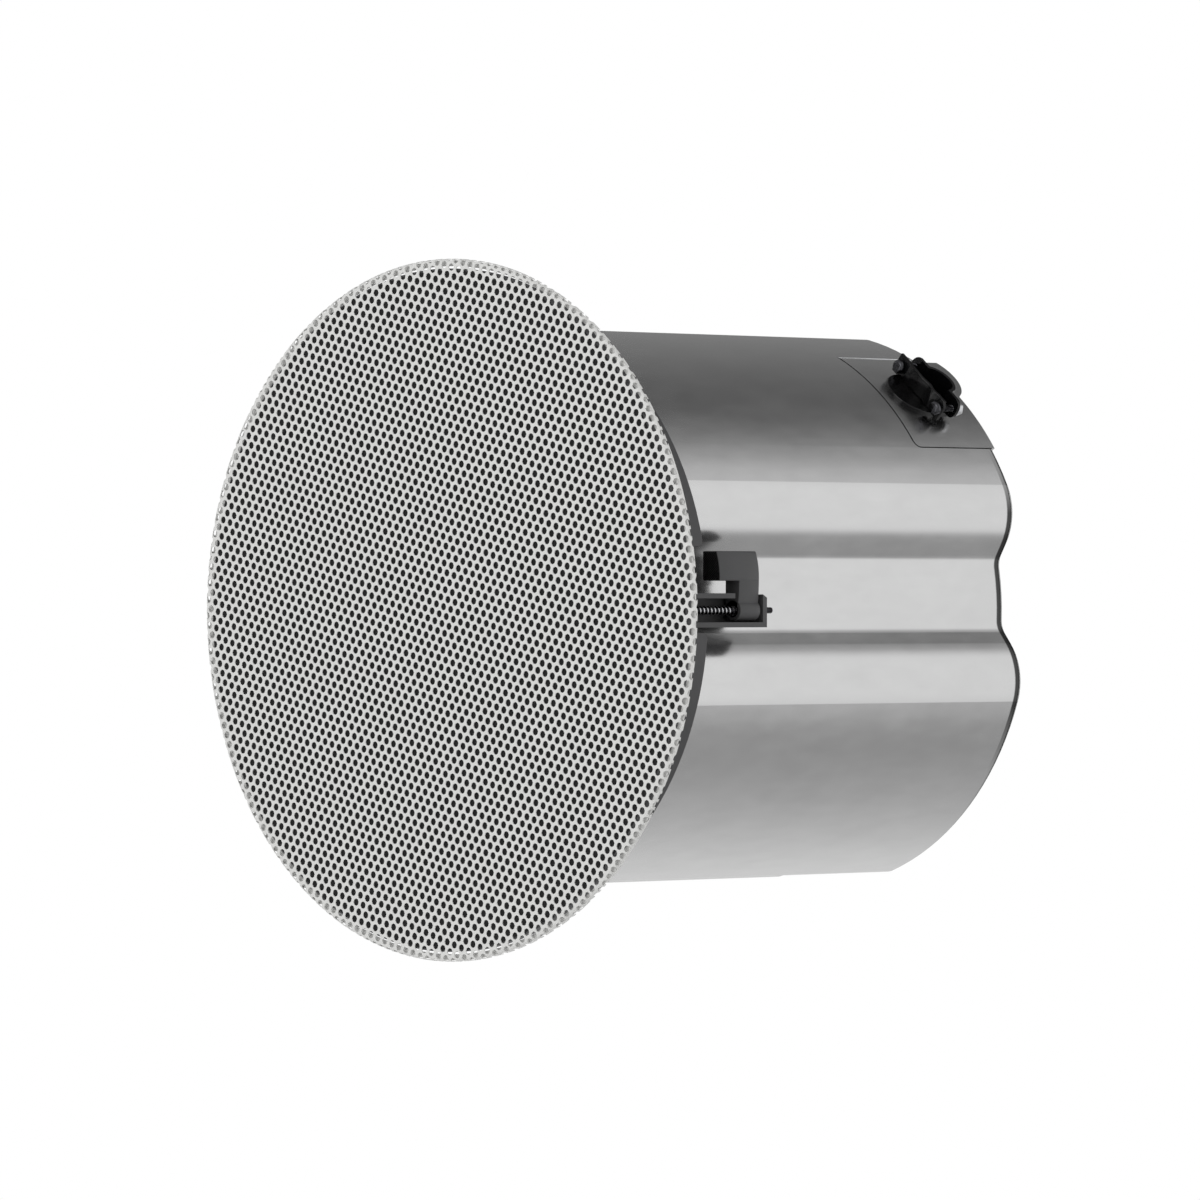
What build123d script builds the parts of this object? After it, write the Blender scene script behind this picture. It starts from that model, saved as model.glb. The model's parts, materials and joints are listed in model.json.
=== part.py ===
from build123d import *
import os
from math import atan, cos, degrees, hypot, pi, radians, sin, sqrt, tan

# In ceiling loudspeaker with its own back can, in millimetres.
# It stands as it is used: the grille faces down, the can goes up into the ceiling.
# Origin: centre of the grille's front face. +Z: up, along the speaker's axis.
# +X: the clamp on the side that is seen best. -Y: the side of the cable entry.

# Grille
GRILLE_R = 148.5
GRILLE_SHEET = 0.6
GRILLE_ROLL = 2.0  # outer radius of the rolled edge
GRILLE_LIP = 2.5  # width of the lip turned in behind the edge
GRILLE_DEPTH = 2.9
HOLE_R = 6.6  # coarse holes that stand for the fine perforation
HOLE_PITCH = 22.0
SCRIM_CLEAR = 1.7  # between the cloth and the throat
SCRIM_T = 0.4

# Baffle: rim, throat and plate
SEAT_Z = 5.5  # rear face of the rim, which rests on the ceiling
RIM_CLEAR = 4.1  # from the rim to the outside of the grille
RIM_FRONT_Z = 0.9
THROAT_SET = 20.3  # from the outside of the grille to the throat
THROAT_WALL = 2.5
THROAT_Z = 30.0
PLATE_Z = 15.0
PLATE_T = 3.0
MAGNET_SET = 8.8  # from the throat to the magnets' centres
MAGNET_R = 5.0
MAGNET_T = 2.5
MAGNET_COUNT = 8
MAGNET_PROUD = 0.3

# Back can
CAN_SET = 6.05  # from the throat to the can
CAN_WALL = 1.2
CAN_END_Z = 237.5
CAN_EDGE_R = 3.5
CAN_FLANGE = 5.5
GASKET_T = 1.5
RECESS_DEPTH = 16.0
RECESS_HALF_ANGLE = 15.5
FLANK_SLOPE = 34.0
FLOOR_FILLET = 8.0
WIDE_SHOULDER = 27.0
TIGHT_SHOULDER = 5.0
SHARP_SHOULDER = 4.0
# Each recess: its direction, and the radius of the shoulder before and after it
RECESSES = (
    (-3.7, WIDE_SHOULDER, WIDE_SHOULDER),
    (86.7, TIGHT_SHOULDER, TIGHT_SHOULDER),
    (176.3, WIDE_SHOULDER, WIDE_SHOULDER),
    (-93.2, WIDE_SHOULDER, SHARP_SHOULDER),
)
CAN_SCREW_INSET = 3.25
CAN_SCREW_SPREAD = 14.0  # degrees either side of a lobe's middle
LOBES = (42.8, 132.8, -138.7, -48.7)

# Clamps
CLAMP_ANGLES = (0.0, 90.0, 180.0, -90.0)
CLAMP_INSET = 7.8  # from the throat's outside to a clamp's screw
CLAMP_SCREW_R = 1.75
CLAMP_HEAD_R = 3.6
CLAMP_HEAD_T = 2.4
CLAMP_TIP_R = 1.35
CLAMP_TIP_LENGTH = 4.5
CLAMP_SCREW_END_Z = 75.7
RUNNING_GAP = 0.06
ARM_Z = 52.7
ARM_THICK = 12.0
BARREL_R = 4.5
LEG_INNER = 4.4  # leg and pad faces, measured from the screw's axis
LEG_OUTER = 3.9
PAD_NEAR = 12.3
PAD_FAR = 24.7
PAD_Z = 40.6
PAD_INNER = 6.1
PAD_INSET = 4.1  # from the throat's outside to the pad's outer face
NUT_R = 3.0
NUT_T = 4.0

# Clamp channels on the baffle, measured from each screw's axis
CHANNEL_WALL = 2.1
CHANNEL_CLEAR = 5.0
CHANNEL_FLOOR = 6.1
CHANNEL_OUT = 4.1
CHANNEL_Z = 69.0
CHANNEL_END_T = 2.4
CHANNEL_SLANT = 1.8  # how far the channel's end is cut back at the arm's side
CHANNEL_SLANT_LENGTH = 3.2
SHELF_Z = 50.0
NOTCH_LOW_Z = 8.0
NOTCH_ARM_SIDE = 26.5
NOTCH_FREE_SIDE = 9.4
NOTCH_EDGE_R = 3.0
GUSSET_Z = 35.8
GUSSET_SPREAD = 9.4
GUSSET_X = (-7.0, -4.5)

# Terminal compartment in the can's wall
TERMINAL_ANGLE = -49.4
TERMINAL_SPAN = 29.0
TERMINAL_HEIGHT = 50.5  # from the opening's lower edge to the can's end
TERMINAL_DEPTH = 25.0
TERMINAL_CORNER_R = 3.5
COVER_GAP = 0.35
COVER_T = 1.2
CUP_WALL = 1.0
CUP_DEPTH = 27.0
CUP_MARGIN = 1.6  # degrees that the cup is wider than its opening
CUP_TAB = 12.0
TERMINAL_COUNT = 4
TERMINAL_PITCH = 6.0

# Cable clamp on the terminal cover
ENTRY_ANGLE = -49.3
ENTRY_BELOW = 21.9  # from the can's end down to the cable entry
ENTRY_R = 7.6
ENTRY_WALL = 1.3
ENTRY_FLANGE_R = 12.8
ENTRY_FLANGE_T = 1.9
ENTRY_FLANGE_LEAD = 9.2  # the flange reaches this much further forward than back
ENTRY_DEPTH = 7.5
JAW_HEIGHT = 8.2
JAW_T = 1.5
JAW_SPREAD = 14.1  # screws either side of the cable
JAW_EAR = 3.2
JAW_FOOT = 0.9  # how far the ears reach down beside the flange
JAW_CORNER = 1.7
STRAP_OFFSET = 7.1
STRAP_WAVE = ((-17.3, 0.0), (-9.6, 0.0), (-9.5, 0.5), (-1.7, 0.65), (4.2, -0.4), (8.0, 0.65), (10.9, 0.0), (17.3, 0.0))
REAR_OFFSET = 0.9
STRAP_TRAVEL = 7.0
ENTRY_SCREW_R = 1.6
ENTRY_SCREW_HEIGHT = 3.3
ENTRY_HEAD_R = 3.05
ENTRY_HEAD_T = 2.4
ENTRY_NUT_R = 3.3
ENTRY_NUT_T = 3.0
LOCKNUT_R = 12.5
LOCKNUT_T = 2.4

# Half-round tab that the terminal cover is pulled off by
TAB_ANGLE = -51.0
TAB_INSET = 4.15  # from the can's wall to the tab's outer face
TAB_T = 1.2
TAB_SIDE = -17.3
TAB_R = 16.5
TAB_TRIM = 9.6  # the tab ends this far from its middle, at the cover's side

# Woofer
BASKET_SET = 39.15  # from the can to the basket's flange
BASKET_FLANGE_T = 3.0
BASKET_FLANGE = 11.0
BASKET_WALL = 2.4
BASKET_NECK_R = 54.0
BASKET_NECK_Z = 57.0
BASKET_REAR_Z = 60.0
BASKET_WINDOWS = 6
SPIDER_LEDGE_Z = 51.0
WOOFER_SCREW_INSET = 4.5
WOOFER_SCREW_R = 1.9
WOOFER_SCREWS = 6
SURROUND_WIDTH = 10.0
CONE_T = 1.0
CONE_NECK_Z = 40.0
SURROUND_INSET = 13.0
SURROUND_LIP = 4.5
SURROUND_T = 0.7
COIL_IN_R = 18.7
COIL_WALL = 0.4
COIL_WIRE = 0.8
COIL_START_Z = 38.0
COIL_END_Z = 68.0
COIL_WIND = 10.0
GAP_R = 20.6
TOP_PLATE_R = 50.0
TOP_PLATE_T = 6.0
MAGNET_RING_R = 46.0
MAGNET_RING_HOLE_R = 25.0
MAGNET_RING_T = 18.0
YOKE_T = 6.0
POLE_R = 17.9
POLE_BORE_R = 5.0
CONE_TRAVEL = 3.5

# Tweeter on its post in front of the cone
TWEETER_R = 17.5
TWEETER_FRONT_Z = 9.0
TWEETER_DEPTH = 18.0
TWEETER_WALL = 2.0
DOME_R = 10.0

# Port, tap switch
PORT_INSET = 20.65
PORT_R = 14.0
PORT_WALL = 2.0
PORT_FLARE_R = 17.5
PORT_LENGTH = 90.0
TAP_INSET = 19.15
TAP_KNOB_R = 10.0
TAP_KNOB_T = 7.0
TAP_DIAL_R = 15.0
TAP_DIAL_T = 0.6
TAP_SHAFT_R = 3.0
TAP_BODY = 22.0
TAP_BODY_T = 16.0
TAP_MARKS = 5
TAP_STEP = 30.0

# Electrical parts on the can's rear wall
BOARD_Y = 22.0
BOARD_WALL = 18.15  # from the recess's floor to the board's edge
BOARD_SPARE = 6.15  # the board is this much shorter than the recess's floor radius
BOARD_WIDTH, BOARD_T = 62.0, 1.6
INDUCTOR_X, INDUCTOR_Y, INDUCTOR_R, INDUCTOR_T = -24.0, -6.0, 16.0, 18.0
CAPACITOR_X, CAPACITOR_R, CAPACITOR_LENGTH = 20.0, 8.0, 30.0
RESISTOR_X, RESISTOR_Y = 20.0, 22.0
STANDOFF = 12.0
STANDOFF_R = 3.5
CORE_Y = 12.0
CORE_WALL = 26.15  # from the recess's floor to the core
CORE_SPARE = 54.15  # the core is this much shorter than the recess's floor radius
CORE_WIDTH, CORE_HEIGHT = 32.0, 44.0
LINER_T = 6.0
LINER_START, LINER_BELOW = 40.5, 12.0  # behind the can's front edge, and in front of the terminals
ANCHOR_X, ANCHOR_Y = -55.0, -45.0
ANCHOR_WIDTH = 22.0
ANCHOR_HEIGHT = 13.0
ANCHOR_T = 1.6
ANCHOR_HOLE_R = 3.2
RIVET_R = 1.55

# Places worked out from the sizes above
PLATE_BACK_Z = PLATE_Z + PLATE_T
CAN_START_Z = PLATE_BACK_Z + GASKET_T
CAN_INSIDE_Z = CAN_END_Z - CAN_WALL
THROAT_R = GRILLE_R - THROAT_SET
THROAT_IN_R = THROAT_R - THROAT_WALL
SCRIM_R = THROAT_IN_R - SCRIM_CLEAR
RIM_R = GRILLE_R - RIM_CLEAR
MAGNET_PITCH_R = THROAT_R + MAGNET_SET
CAN_R = THROAT_R - CAN_SET
RECESS_FLOOR_R = CAN_R - RECESS_DEPTH
CAN_SCREW_PITCH_R = CAN_R - CAN_SCREW_INSET
CLAMP_AXIS_R = THROAT_R - CLAMP_INSET
PAD_OUTER_R = THROAT_R - PAD_INSET
PORT_PITCH_R = CAN_R - PORT_INSET
TAP_PITCH_R = CAN_R - TAP_INSET
TERMINAL_Z = CAN_END_Z - TERMINAL_HEIGHT
ENTRY_Z = CAN_END_Z - ENTRY_BELOW
TAB_FACE = CAN_R - TAB_INSET
LINER_LOW_Z = CAN_START_Z + LINER_START
LINER_HIGH_Z = TERMINAL_Z - LINER_BELOW
BASKET_R = CAN_R - BASKET_SET
BASKET_THROAT_R = BASKET_R - BASKET_FLANGE
WOOFER_SCREW_PITCH_R = BASKET_R - WOOFER_SCREW_INSET
SURROUND_OUT_R = BASKET_R - SURROUND_INSET
CONE_EDGE_R = SURROUND_OUT_R - SURROUND_WIDTH
CORE_LENGTH = RECESS_FLOOR_R - CORE_SPARE
CORE_X = RECESS_FLOOR_R - CORE_WALL - CORE_LENGTH / 2
BOARD_LENGTH = RECESS_FLOOR_R - BOARD_SPARE
BOARD_X = BOARD_WALL + BOARD_LENGTH / 2 - RECESS_FLOOR_R


def disc(radius, low, high):
    """An upright cylinder on the speaker's axis."""
    return Pos(0, 0, low) * Cylinder(radius, high - low, align=(Align.CENTER, Align.CENTER, Align.MIN))


def ring(outer, inner, low, high):
    """An upright tube on the speaker's axis."""
    return Pos(0, 0, low) * extrude(Circle(outer) - Circle(inner), high - low)


def slab(x, y, z):
    """A box from its (low, high) extents."""
    spans = [pair[1] - pair[0] for pair in (x, y, z)]
    return Pos(x[0], y[0], z[0]) * Box(*spans, align=(Align.MIN, Align.MIN, Align.MIN))


def turned(points):
    """A body of revolution about the speaker's axis, from (radius, height) points."""
    outline = Plane.XZ * make_face(Polyline(*points, close=True))
    return revolve(outline, Axis.Z)


def around(piece, angle):
    """The piece turned about the speaker's axis."""
    return Rot(0, 0, angle) * piece


def at(radius, angle, piece):
    """The piece set upright at a radius and direction from the speaker's axis."""
    return Rot(0, 0, angle) * Pos(radius, 0, 0) * piece


def group(pieces):
    """Separate like solids as one node."""
    return Compound(children=[solid for piece in pieces for solid in piece.solids()])


# Grille


def grille():
    inner_roll = GRILLE_ROLL - GRILLE_SHEET
    flat = GRILLE_R - GRILLE_ROLL
    wall_in = GRILLE_R - GRILLE_SHEET
    lip_in = wall_in - GRILLE_LIP
    lip_front = GRILLE_DEPTH - GRILLE_SHEET
    with BuildPart() as sheet:
        with BuildSketch(Plane.XZ):
            with BuildLine():
                Line((0, 0), (flat, 0))
                CenterArc((flat, GRILLE_ROLL), GRILLE_ROLL, -90, 90)
                Line((GRILLE_R, GRILLE_ROLL), (GRILLE_R, GRILLE_DEPTH))
                Line((GRILLE_R, GRILLE_DEPTH), (lip_in, GRILLE_DEPTH))
                Line((lip_in, GRILLE_DEPTH), (lip_in, lip_front))
                Line((lip_in, lip_front), (wall_in, lip_front))
                Line((wall_in, lip_front), (wall_in, GRILLE_ROLL))
                CenterArc((flat, GRILLE_ROLL), inner_roll, 0, -90)
                Line((flat, GRILLE_SHEET), (0, GRILLE_SHEET))
                Line((0, GRILLE_SHEET), (0, 0))
            make_face()
        revolve(axis=Axis.Z)
    holes = []
    reach = GRILLE_R - GRILLE_ROLL - HOLE_R - 4
    rows = int(reach // HOLE_PITCH) + 1
    for row in range(-rows, rows + 1):
        shift = HOLE_PITCH / 2 if row % 2 else 0
        for column in range(-rows, rows + 1):
            x, y = column * HOLE_PITCH + shift, row * HOLE_PITCH
            if 1 < hypot(x, y) < reach:
                holes.append(Pos(x, y, 0) * Circle(HOLE_R))
    punch = Pos(0, 0, -1) * extrude(Sketch() + holes, GRILLE_SHEET + 2)
    return sheet.part - punch


def grille_scrim():
    return disc(SCRIM_R, GRILLE_SHEET, GRILLE_SHEET + SCRIM_T)


def grille_magnets():
    low = RIM_FRONT_Z - MAGNET_PROUD
    magnet = disc(MAGNET_R, low, low + MAGNET_T)
    return group([at(MAGNET_PITCH_R, 360 / MAGNET_COUNT * (k + 0.5), magnet) for k in range(MAGNET_COUNT)])


# Back can


def can_outline():
    """The can's lobed section: a circle with four recesses that have sloping flanks."""
    corner_x = CAN_R * sin(radians(RECESS_HALF_ANGLE))
    corner_y = CAN_R * cos(radians(RECESS_HALF_ANGLE))
    run, rise = cos(radians(FLANK_SLOPE)), sin(radians(FLANK_SLOPE))
    low = RECESS_FLOOR_R * 0.95
    inner_x = corner_x - (corner_y - low) / rise * run
    reach = CAN_R * 0.2
    outer_x, outer_y = corner_x + reach * run, corner_y + reach * rise
    wedge = make_face(
        Polyline((-inner_x, low), (inner_x, low), (outer_x, outer_y), (-outer_x, outer_y), close=True)
    )
    outline = Sketch() + Circle(CAN_R)
    for angle, _, _ in RECESSES:
        outline -= Rot(0, 0, angle - 90) * wedge - Circle(RECESS_FLOOR_R)
    floor_half = recess_floor_half(corner_x, corner_y, run, rise)
    for angle, before, after in RECESSES:
        for side, shoulder in ((-1, before), (1, after)):
            foot = angle + side * floor_half
            outline = round_corner(outline, RECESS_FLOOR_R, foot, FLOOR_FILLET)
            outline = round_corner(outline, CAN_R, angle + side * RECESS_HALF_ANGLE, shoulder)
    return outline


def recess_floor_half(corner_x, corner_y, run, rise):
    """Half the angle of a recess's floor, where its flank's line meets the floor's circle."""
    along = corner_x * run + corner_y * rise
    beyond = sqrt(along**2 - CAN_R**2 + RECESS_FLOOR_R**2)
    step = along - beyond
    return degrees(atan((corner_x - step * run) / (corner_y - step * rise)))


def round_corner(outline, radius, angle, fillet_radius):
    """The outline with its corner at this radius and direction rounded."""
    place = Vector(radius * cos(radians(angle)), radius * sin(radians(angle)), 0)
    corner = min(outline.vertices(), key=lambda vertex: (Vector(vertex.X, vertex.Y, 0) - place).length)
    return fillet(corner, fillet_radius)


def inset(outline, amount):
    return offset(outline, -amount, kind=Kind.INTERSECTION)


def rear_edge(body, radius):
    return fillet(body.faces().sort_by(Axis.Z)[-1].edges(), radius)


def terminal_sector(inner, outer, low, high, margin):
    """A block of the can's wall round the terminals, widened at each side by a margin in degrees."""
    span = TERMINAL_SPAN + 2 * margin
    outline = Plane.XZ * Pos((inner + outer) / 2, (low + high) / 2) * Rectangle(outer - inner, high - low)
    return around(revolve(outline, Axis.Z, span), TERMINAL_ANGLE - span / 2)


def rounded_terminal_block(inner, outer, low, high, margin):
    """The same block with its lower front corner rounded, as the cover's outline is."""
    block = terminal_sector(inner, outer, low, high, margin)
    side = TERMINAL_ANGLE + TERMINAL_SPAN / 2 + margin
    middle = (inner + outer) / 2
    place = Vector(middle * cos(radians(side)), middle * sin(radians(side)), low)
    corner = min(block.edges(), key=lambda edge: (edge.center() - place).length)
    return fillet(corner, TERMINAL_CORNER_R)


def can_screw_places():
    return [
        (CAN_SCREW_PITCH_R, lobe + side * CAN_SCREW_SPREAD) for lobe in LOBES for side in (-1, 1)
    ]


def can_screw_holes(low, high, radius):
    return [at(r, angle, disc(radius, low, high)) for r, angle in can_screw_places()]


def can_hollow(outline):
    """The space inside the can, from its front edge."""
    depth = CAN_END_Z - CAN_START_Z - CAN_WALL
    return rear_edge(extrude(inset(outline, CAN_WALL), depth), CAN_EDGE_R - CAN_WALL)


def back_can(outline):
    body = rear_edge(extrude(outline, CAN_END_Z - CAN_START_Z), CAN_EDGE_R)
    can = body - can_hollow(outline)
    can += extrude(outline - inset(outline, CAN_FLANGE), CAN_WALL)
    can = Pos(0, 0, CAN_START_Z) * can
    opening = rounded_terminal_block(
        CAN_R - TERMINAL_DEPTH, CAN_R + 10, TERMINAL_Z, CAN_END_Z + 10, 0
    )
    can -= opening
    for hole in can_screw_holes(CAN_START_Z - 1, CAN_START_Z + CAN_WALL + 1, CLAMP_SCREW_R + RUNNING_GAP):
        can -= hole
    for place in rivet_places():
        can -= place * disc(RIVET_R + RUNNING_GAP, -CAN_WALL - 1, 1)
    return can


def can_gasket(outline):
    gasket = Pos(0, 0, PLATE_BACK_Z) * extrude(outline - inset(outline, CAN_FLANGE), GASKET_T)
    for hole in can_screw_holes(PLATE_BACK_Z - 1, CAN_START_Z + 1, CLAMP_SCREW_R + 0.3):
        gasket -= hole
    return gasket


def can_screws():
    head = disc(CLAMP_HEAD_R - 0.6, PLATE_Z - 2.2, PLATE_Z)
    screw = head + disc(CLAMP_SCREW_R, PLATE_Z, CAN_START_Z + CAN_WALL + 4)
    screw -= cross_recess(PLATE_Z - 2.2, 2.0)
    return group([at(r, angle, screw) for r, angle in can_screw_places()])


def cross_recess(front, reach):
    """The cross slot in a screw's head that faces down."""
    slot = slab((-reach, reach), (-0.45, 0.45), (front - 1, front + 1.2))
    return slot + around(slot, 90)


def damping_liner(outline):
    outer = inset(outline, CAN_WALL + 0.3)
    inner = inset(outline, CAN_WALL + 0.3 + LINER_T)
    liner = Pos(0, 0, LINER_LOW_Z) * extrude(outer - inner, LINER_HIGH_Z - LINER_LOW_Z)
    return liner - at(PORT_PITCH_R, LOBES[1], disc(PORT_R + 0.6, LINER_LOW_Z - 1, LINER_HIGH_Z + 1))


def rivet_places():
    place = Pos(ANCHOR_X + ANCHOR_WIDTH * 0.62, ANCHOR_Y, CAN_END_Z)
    return [place * Pos(0, ANCHOR_WIDTH * share, 0) for share in (0.25, 0.75)]


def safety_anchor():
    foot = slab((0, ANCHOR_WIDTH), (0, ANCHOR_WIDTH), (0, ANCHOR_T))
    tab = slab((0, ANCHOR_T), (0, ANCHOR_WIDTH), (0, ANCHOR_HEIGHT))
    tab = fillet(tab.edges().filter_by(Axis.X).sort_by(Axis.Z)[-2:], ANCHOR_WIDTH * 0.3)
    eye = Pos(-1, ANCHOR_WIDTH / 2, ANCHOR_HEIGHT * 0.58) * Rot(0, 90, 0) * disc(ANCHOR_HOLE_R, 0, 4)
    anchor = Pos(ANCHOR_X, ANCHOR_Y, CAN_END_Z) * (foot + tab - eye)
    for place in rivet_places():
        anchor -= place * disc(RIVET_R + RUNNING_GAP, -1, ANCHOR_T + 1)
    return anchor


def anchor_rivets():
    rivet = disc(RIVET_R, -CAN_WALL, ANCHOR_T)
    rivet += disc(RIVET_R * 1.8, ANCHOR_T, ANCHOR_T + 1) + disc(RIVET_R * 1.6, -CAN_WALL - 1, -CAN_WALL)
    return group([place * rivet for place in rivet_places()])


# Clamps


def clamp_frame(angle):
    """The place of a clamp's screw: local +X points away from the speaker's axis, and the arm lies along -Y."""
    return Rot(0, 0, angle) * Pos(CLAMP_AXIS_R, 0, 0)


def clamp_channel():
    """The moulded channel that guides an arm, in the clamp's own frame."""
    far = CHANNEL_CLEAR + CHANNEL_WALL
    inner, floor = -CHANNEL_FLOOR - CHANNEL_WALL, -CHANNEL_FLOOR
    base = PLATE_Z
    back = slab((inner, floor), (-far, far), (base, CHANNEL_Z))
    guard = slab((inner, CHANNEL_OUT), (CHANNEL_CLEAR, far), (base, CHANNEL_Z))
    shelf = slab((inner, CHANNEL_OUT), (-far, -CHANNEL_CLEAR), (base, SHELF_Z))
    end = slab((inner, CHANNEL_OUT), (-far, far), (CHANNEL_Z - CHANNEL_END_T, CHANNEL_Z))
    channel = back + guard + shelf + end
    corner = Plane.YZ * make_face(
        Polyline(
            (-far + CHANNEL_SLANT, CHANNEL_Z), (-far, CHANNEL_Z), (-far, CHANNEL_Z - CHANNEL_SLANT_LENGTH),
            close=True,
        )
    )
    channel -= extrude(corner, CHANNEL_FLOOR + CHANNEL_WALL + 1, both=True)
    channel -= Pos(0, 0, CHANNEL_Z - 5) * disc(CLAMP_SCREW_R + RUNNING_GAP, 0, 10)
    for side in (-1, 1):
        outline = Plane.YZ * make_face(
            Polyline((side * (far - 0.5), base), (side * (far - 0.5), GUSSET_Z), (side * far, GUSSET_Z),
                     (side * (far + GUSSET_SPREAD), base), close=True)
        )
        low, high = GUSSET_X
        channel += Pos(low, 0, 0) * extrude(outline, high - low)
    return channel


def throat_notch():
    """The gap in the throat that an arm swings through, in the clamp's own frame."""
    reach = THROAT_R - CLAMP_AXIS_R + 3
    start = THROAT_IN_R - CLAMP_AXIS_R - 3
    width = NOTCH_ARM_SIDE + NOTCH_FREE_SIDE
    middle = (NOTCH_FREE_SIDE - NOTCH_ARM_SIDE) / 2
    height = THROAT_Z - NOTCH_LOW_Z
    window = Plane.YZ * Pos(middle, NOTCH_LOW_Z + height / 2) * Rectangle(width, height)
    notch = Pos(start, 0, 0) * extrude(window, reach - start)
    for side, edge in ((-1, NOTCH_ARM_SIDE), (1, NOTCH_FREE_SIDE)):
        corner = Plane.YZ * (
            Pos(side * (edge + NOTCH_EDGE_R / 2), THROAT_Z - NOTCH_EDGE_R / 2) * Rectangle(NOTCH_EDGE_R, NOTCH_EDGE_R)
            - Pos(side * (edge + NOTCH_EDGE_R), THROAT_Z - NOTCH_EDGE_R) * Circle(NOTCH_EDGE_R)
        )
        notch += Pos(start, 0, 0) * extrude(corner, reach - start)
    return notch


def clamp_arm():
    """A swing arm: a barrel on the screw, a leg and a pad that reaches forward, in the clamp's own frame."""
    arm = disc(BARREL_R, ARM_Z, ARM_Z + ARM_THICK)
    arm += slab((-LEG_INNER, LEG_OUTER), (-PAD_NEAR, 0), (ARM_Z, ARM_Z + ARM_THICK))
    pad = slab((-PAD_INNER, LEG_OUTER + 2), (-PAD_FAR, -PAD_NEAR), (PAD_Z, ARM_Z + ARM_THICK))
    arm += slab((-PAD_INNER, LEG_OUTER), (-PAD_NEAR, -CHANNEL_CLEAR - CHANNEL_WALL), (ARM_Z, ARM_Z + ARM_THICK))
    arm += pad
    arm &= Pos(-CLAMP_AXIS_R, 0, 0) * disc(PAD_OUTER_R, PAD_Z, ARM_Z + ARM_THICK)
    arm = arm + disc(BARREL_R, ARM_Z, ARM_Z + ARM_THICK)
    arm -= disc(CLAMP_SCREW_R + RUNNING_GAP, ARM_Z - 1, ARM_Z + ARM_THICK + 1)
    arm -= disc(NUT_R + RUNNING_GAP, ARM_Z - 1, ARM_Z + NUT_T)
    return arm


def clamp_nut():
    return ring(NUT_R, CLAMP_SCREW_R + RUNNING_GAP, ARM_Z, ARM_Z + NUT_T - RUNNING_GAP)


def clamp_screw():
    head = disc(CLAMP_HEAD_R, PLATE_Z - CLAMP_HEAD_T, PLATE_Z)
    shank_end = CLAMP_SCREW_END_Z - CLAMP_TIP_LENGTH
    screw = head + disc(CLAMP_SCREW_R, PLATE_Z, shank_end)
    screw += disc(CLAMP_TIP_R, shank_end, CLAMP_SCREW_END_Z)
    return screw - cross_recess(PLATE_Z - CLAMP_HEAD_T, 2.4)


# Baffle


def baffle_rim():
    """The rim's outer flange, which grips the ceiling from below; the baffle's throat is moulded on to it."""
    rim = ring(RIM_R, THROAT_R, RIM_FRONT_Z, SEAT_Z)
    pocket = disc(MAGNET_R + 0.05, RIM_FRONT_Z - 1, RIM_FRONT_Z - MAGNET_PROUD + MAGNET_T)
    for k in range(MAGNET_COUNT):
        rim -= at(MAGNET_PITCH_R, 360 / MAGNET_COUNT * (k + 0.5), pocket)
    return rim


def baffle():
    body = ring(THROAT_R, THROAT_IN_R, RIM_FRONT_Z, THROAT_Z)
    for angle in CLAMP_ANGLES:
        body -= clamp_frame(angle) * throat_notch()
    plate = disc(THROAT_IN_R, PLATE_Z, PLATE_BACK_Z)
    body += plate
    for angle in CLAMP_ANGLES:
        place = clamp_frame(angle)
        body += place * clamp_channel()
        body -= place * disc(CLAMP_SCREW_R + RUNNING_GAP, PLATE_Z - 1, PLATE_BACK_Z + 1)
    body -= disc(BASKET_THROAT_R + 0.5, PLATE_Z - 1, PLATE_BACK_Z + 1)
    for k in range(WOOFER_SCREWS):
        pilot = disc(WOOFER_SCREW_R + 0.05, PLATE_Z - 1, PLATE_BACK_Z + 1)
        body -= at(WOOFER_SCREW_PITCH_R, 360 / WOOFER_SCREWS * (k + 0.5), pilot)
    for hole in can_screw_holes(PLATE_Z - 1, PLATE_BACK_Z + 1, CLAMP_SCREW_R + RUNNING_GAP):
        body -= hole
    body -= at(PORT_PITCH_R, LOBES[1], disc(PORT_R + 0.1, PLATE_Z - 1, PLATE_BACK_Z + 1))
    return body - at(TAP_PITCH_R, LOBES[0], disc(TAP_SHAFT_R + 1.6, PLATE_Z - 1, PLATE_BACK_Z + 1))


# Terminal compartment


def entry_frame():
    """The cable entry's own frame: local +Z points out of the can, local -X up along it."""
    return Pos(0, 0, ENTRY_Z) * Rot(0, 0, ENTRY_ANGLE) * Rot(0, 90, 0)


def terminal_cover():
    margin = -degrees(COVER_GAP / CAN_R)
    inner = CAN_R - TERMINAL_DEPTH + COVER_GAP
    cover = rounded_terminal_block(inner, CAN_R, TERMINAL_Z + COVER_GAP, CAN_END_Z, margin)
    cover -= terminal_sector(inner - 5, CAN_R - COVER_T, TERMINAL_Z - 5, CAN_END_Z - COVER_T, 2)
    throat = disc(ENTRY_R + ENTRY_WALL + 0.3, CAN_R - 10, CAN_R + 10)
    cover -= entry_frame() * throat
    cover += pull_tab()
    return cover - cover_screw_place() * disc(CLAMP_SCREW_R + RUNNING_GAP, -5, 5)


def pull_tab():
    """A half-round tab bent up from the cover's rear edge."""
    low = CAN_END_Z - COVER_T
    plate = Rot(0, 90, 0) * Cylinder(TAB_R, TAB_T, align=(Align.CENTER, Align.CENTER, Align.MAX))
    plate &= slab((-TAB_T - 1, 1), (-TAB_TRIM, TAB_R), (low - CAN_END_Z, TAB_R + 1))
    return Rot(0, 0, TAB_ANGLE) * Pos(TAB_FACE, TAB_SIDE, CAN_END_Z) * plate


def cover_screw_place():
    reach = CAN_R - TERMINAL_DEPTH + CUP_TAB / 2
    return Rot(0, 0, TERMINAL_ANGLE) * Pos(reach, 0, CAN_END_Z)


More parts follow.
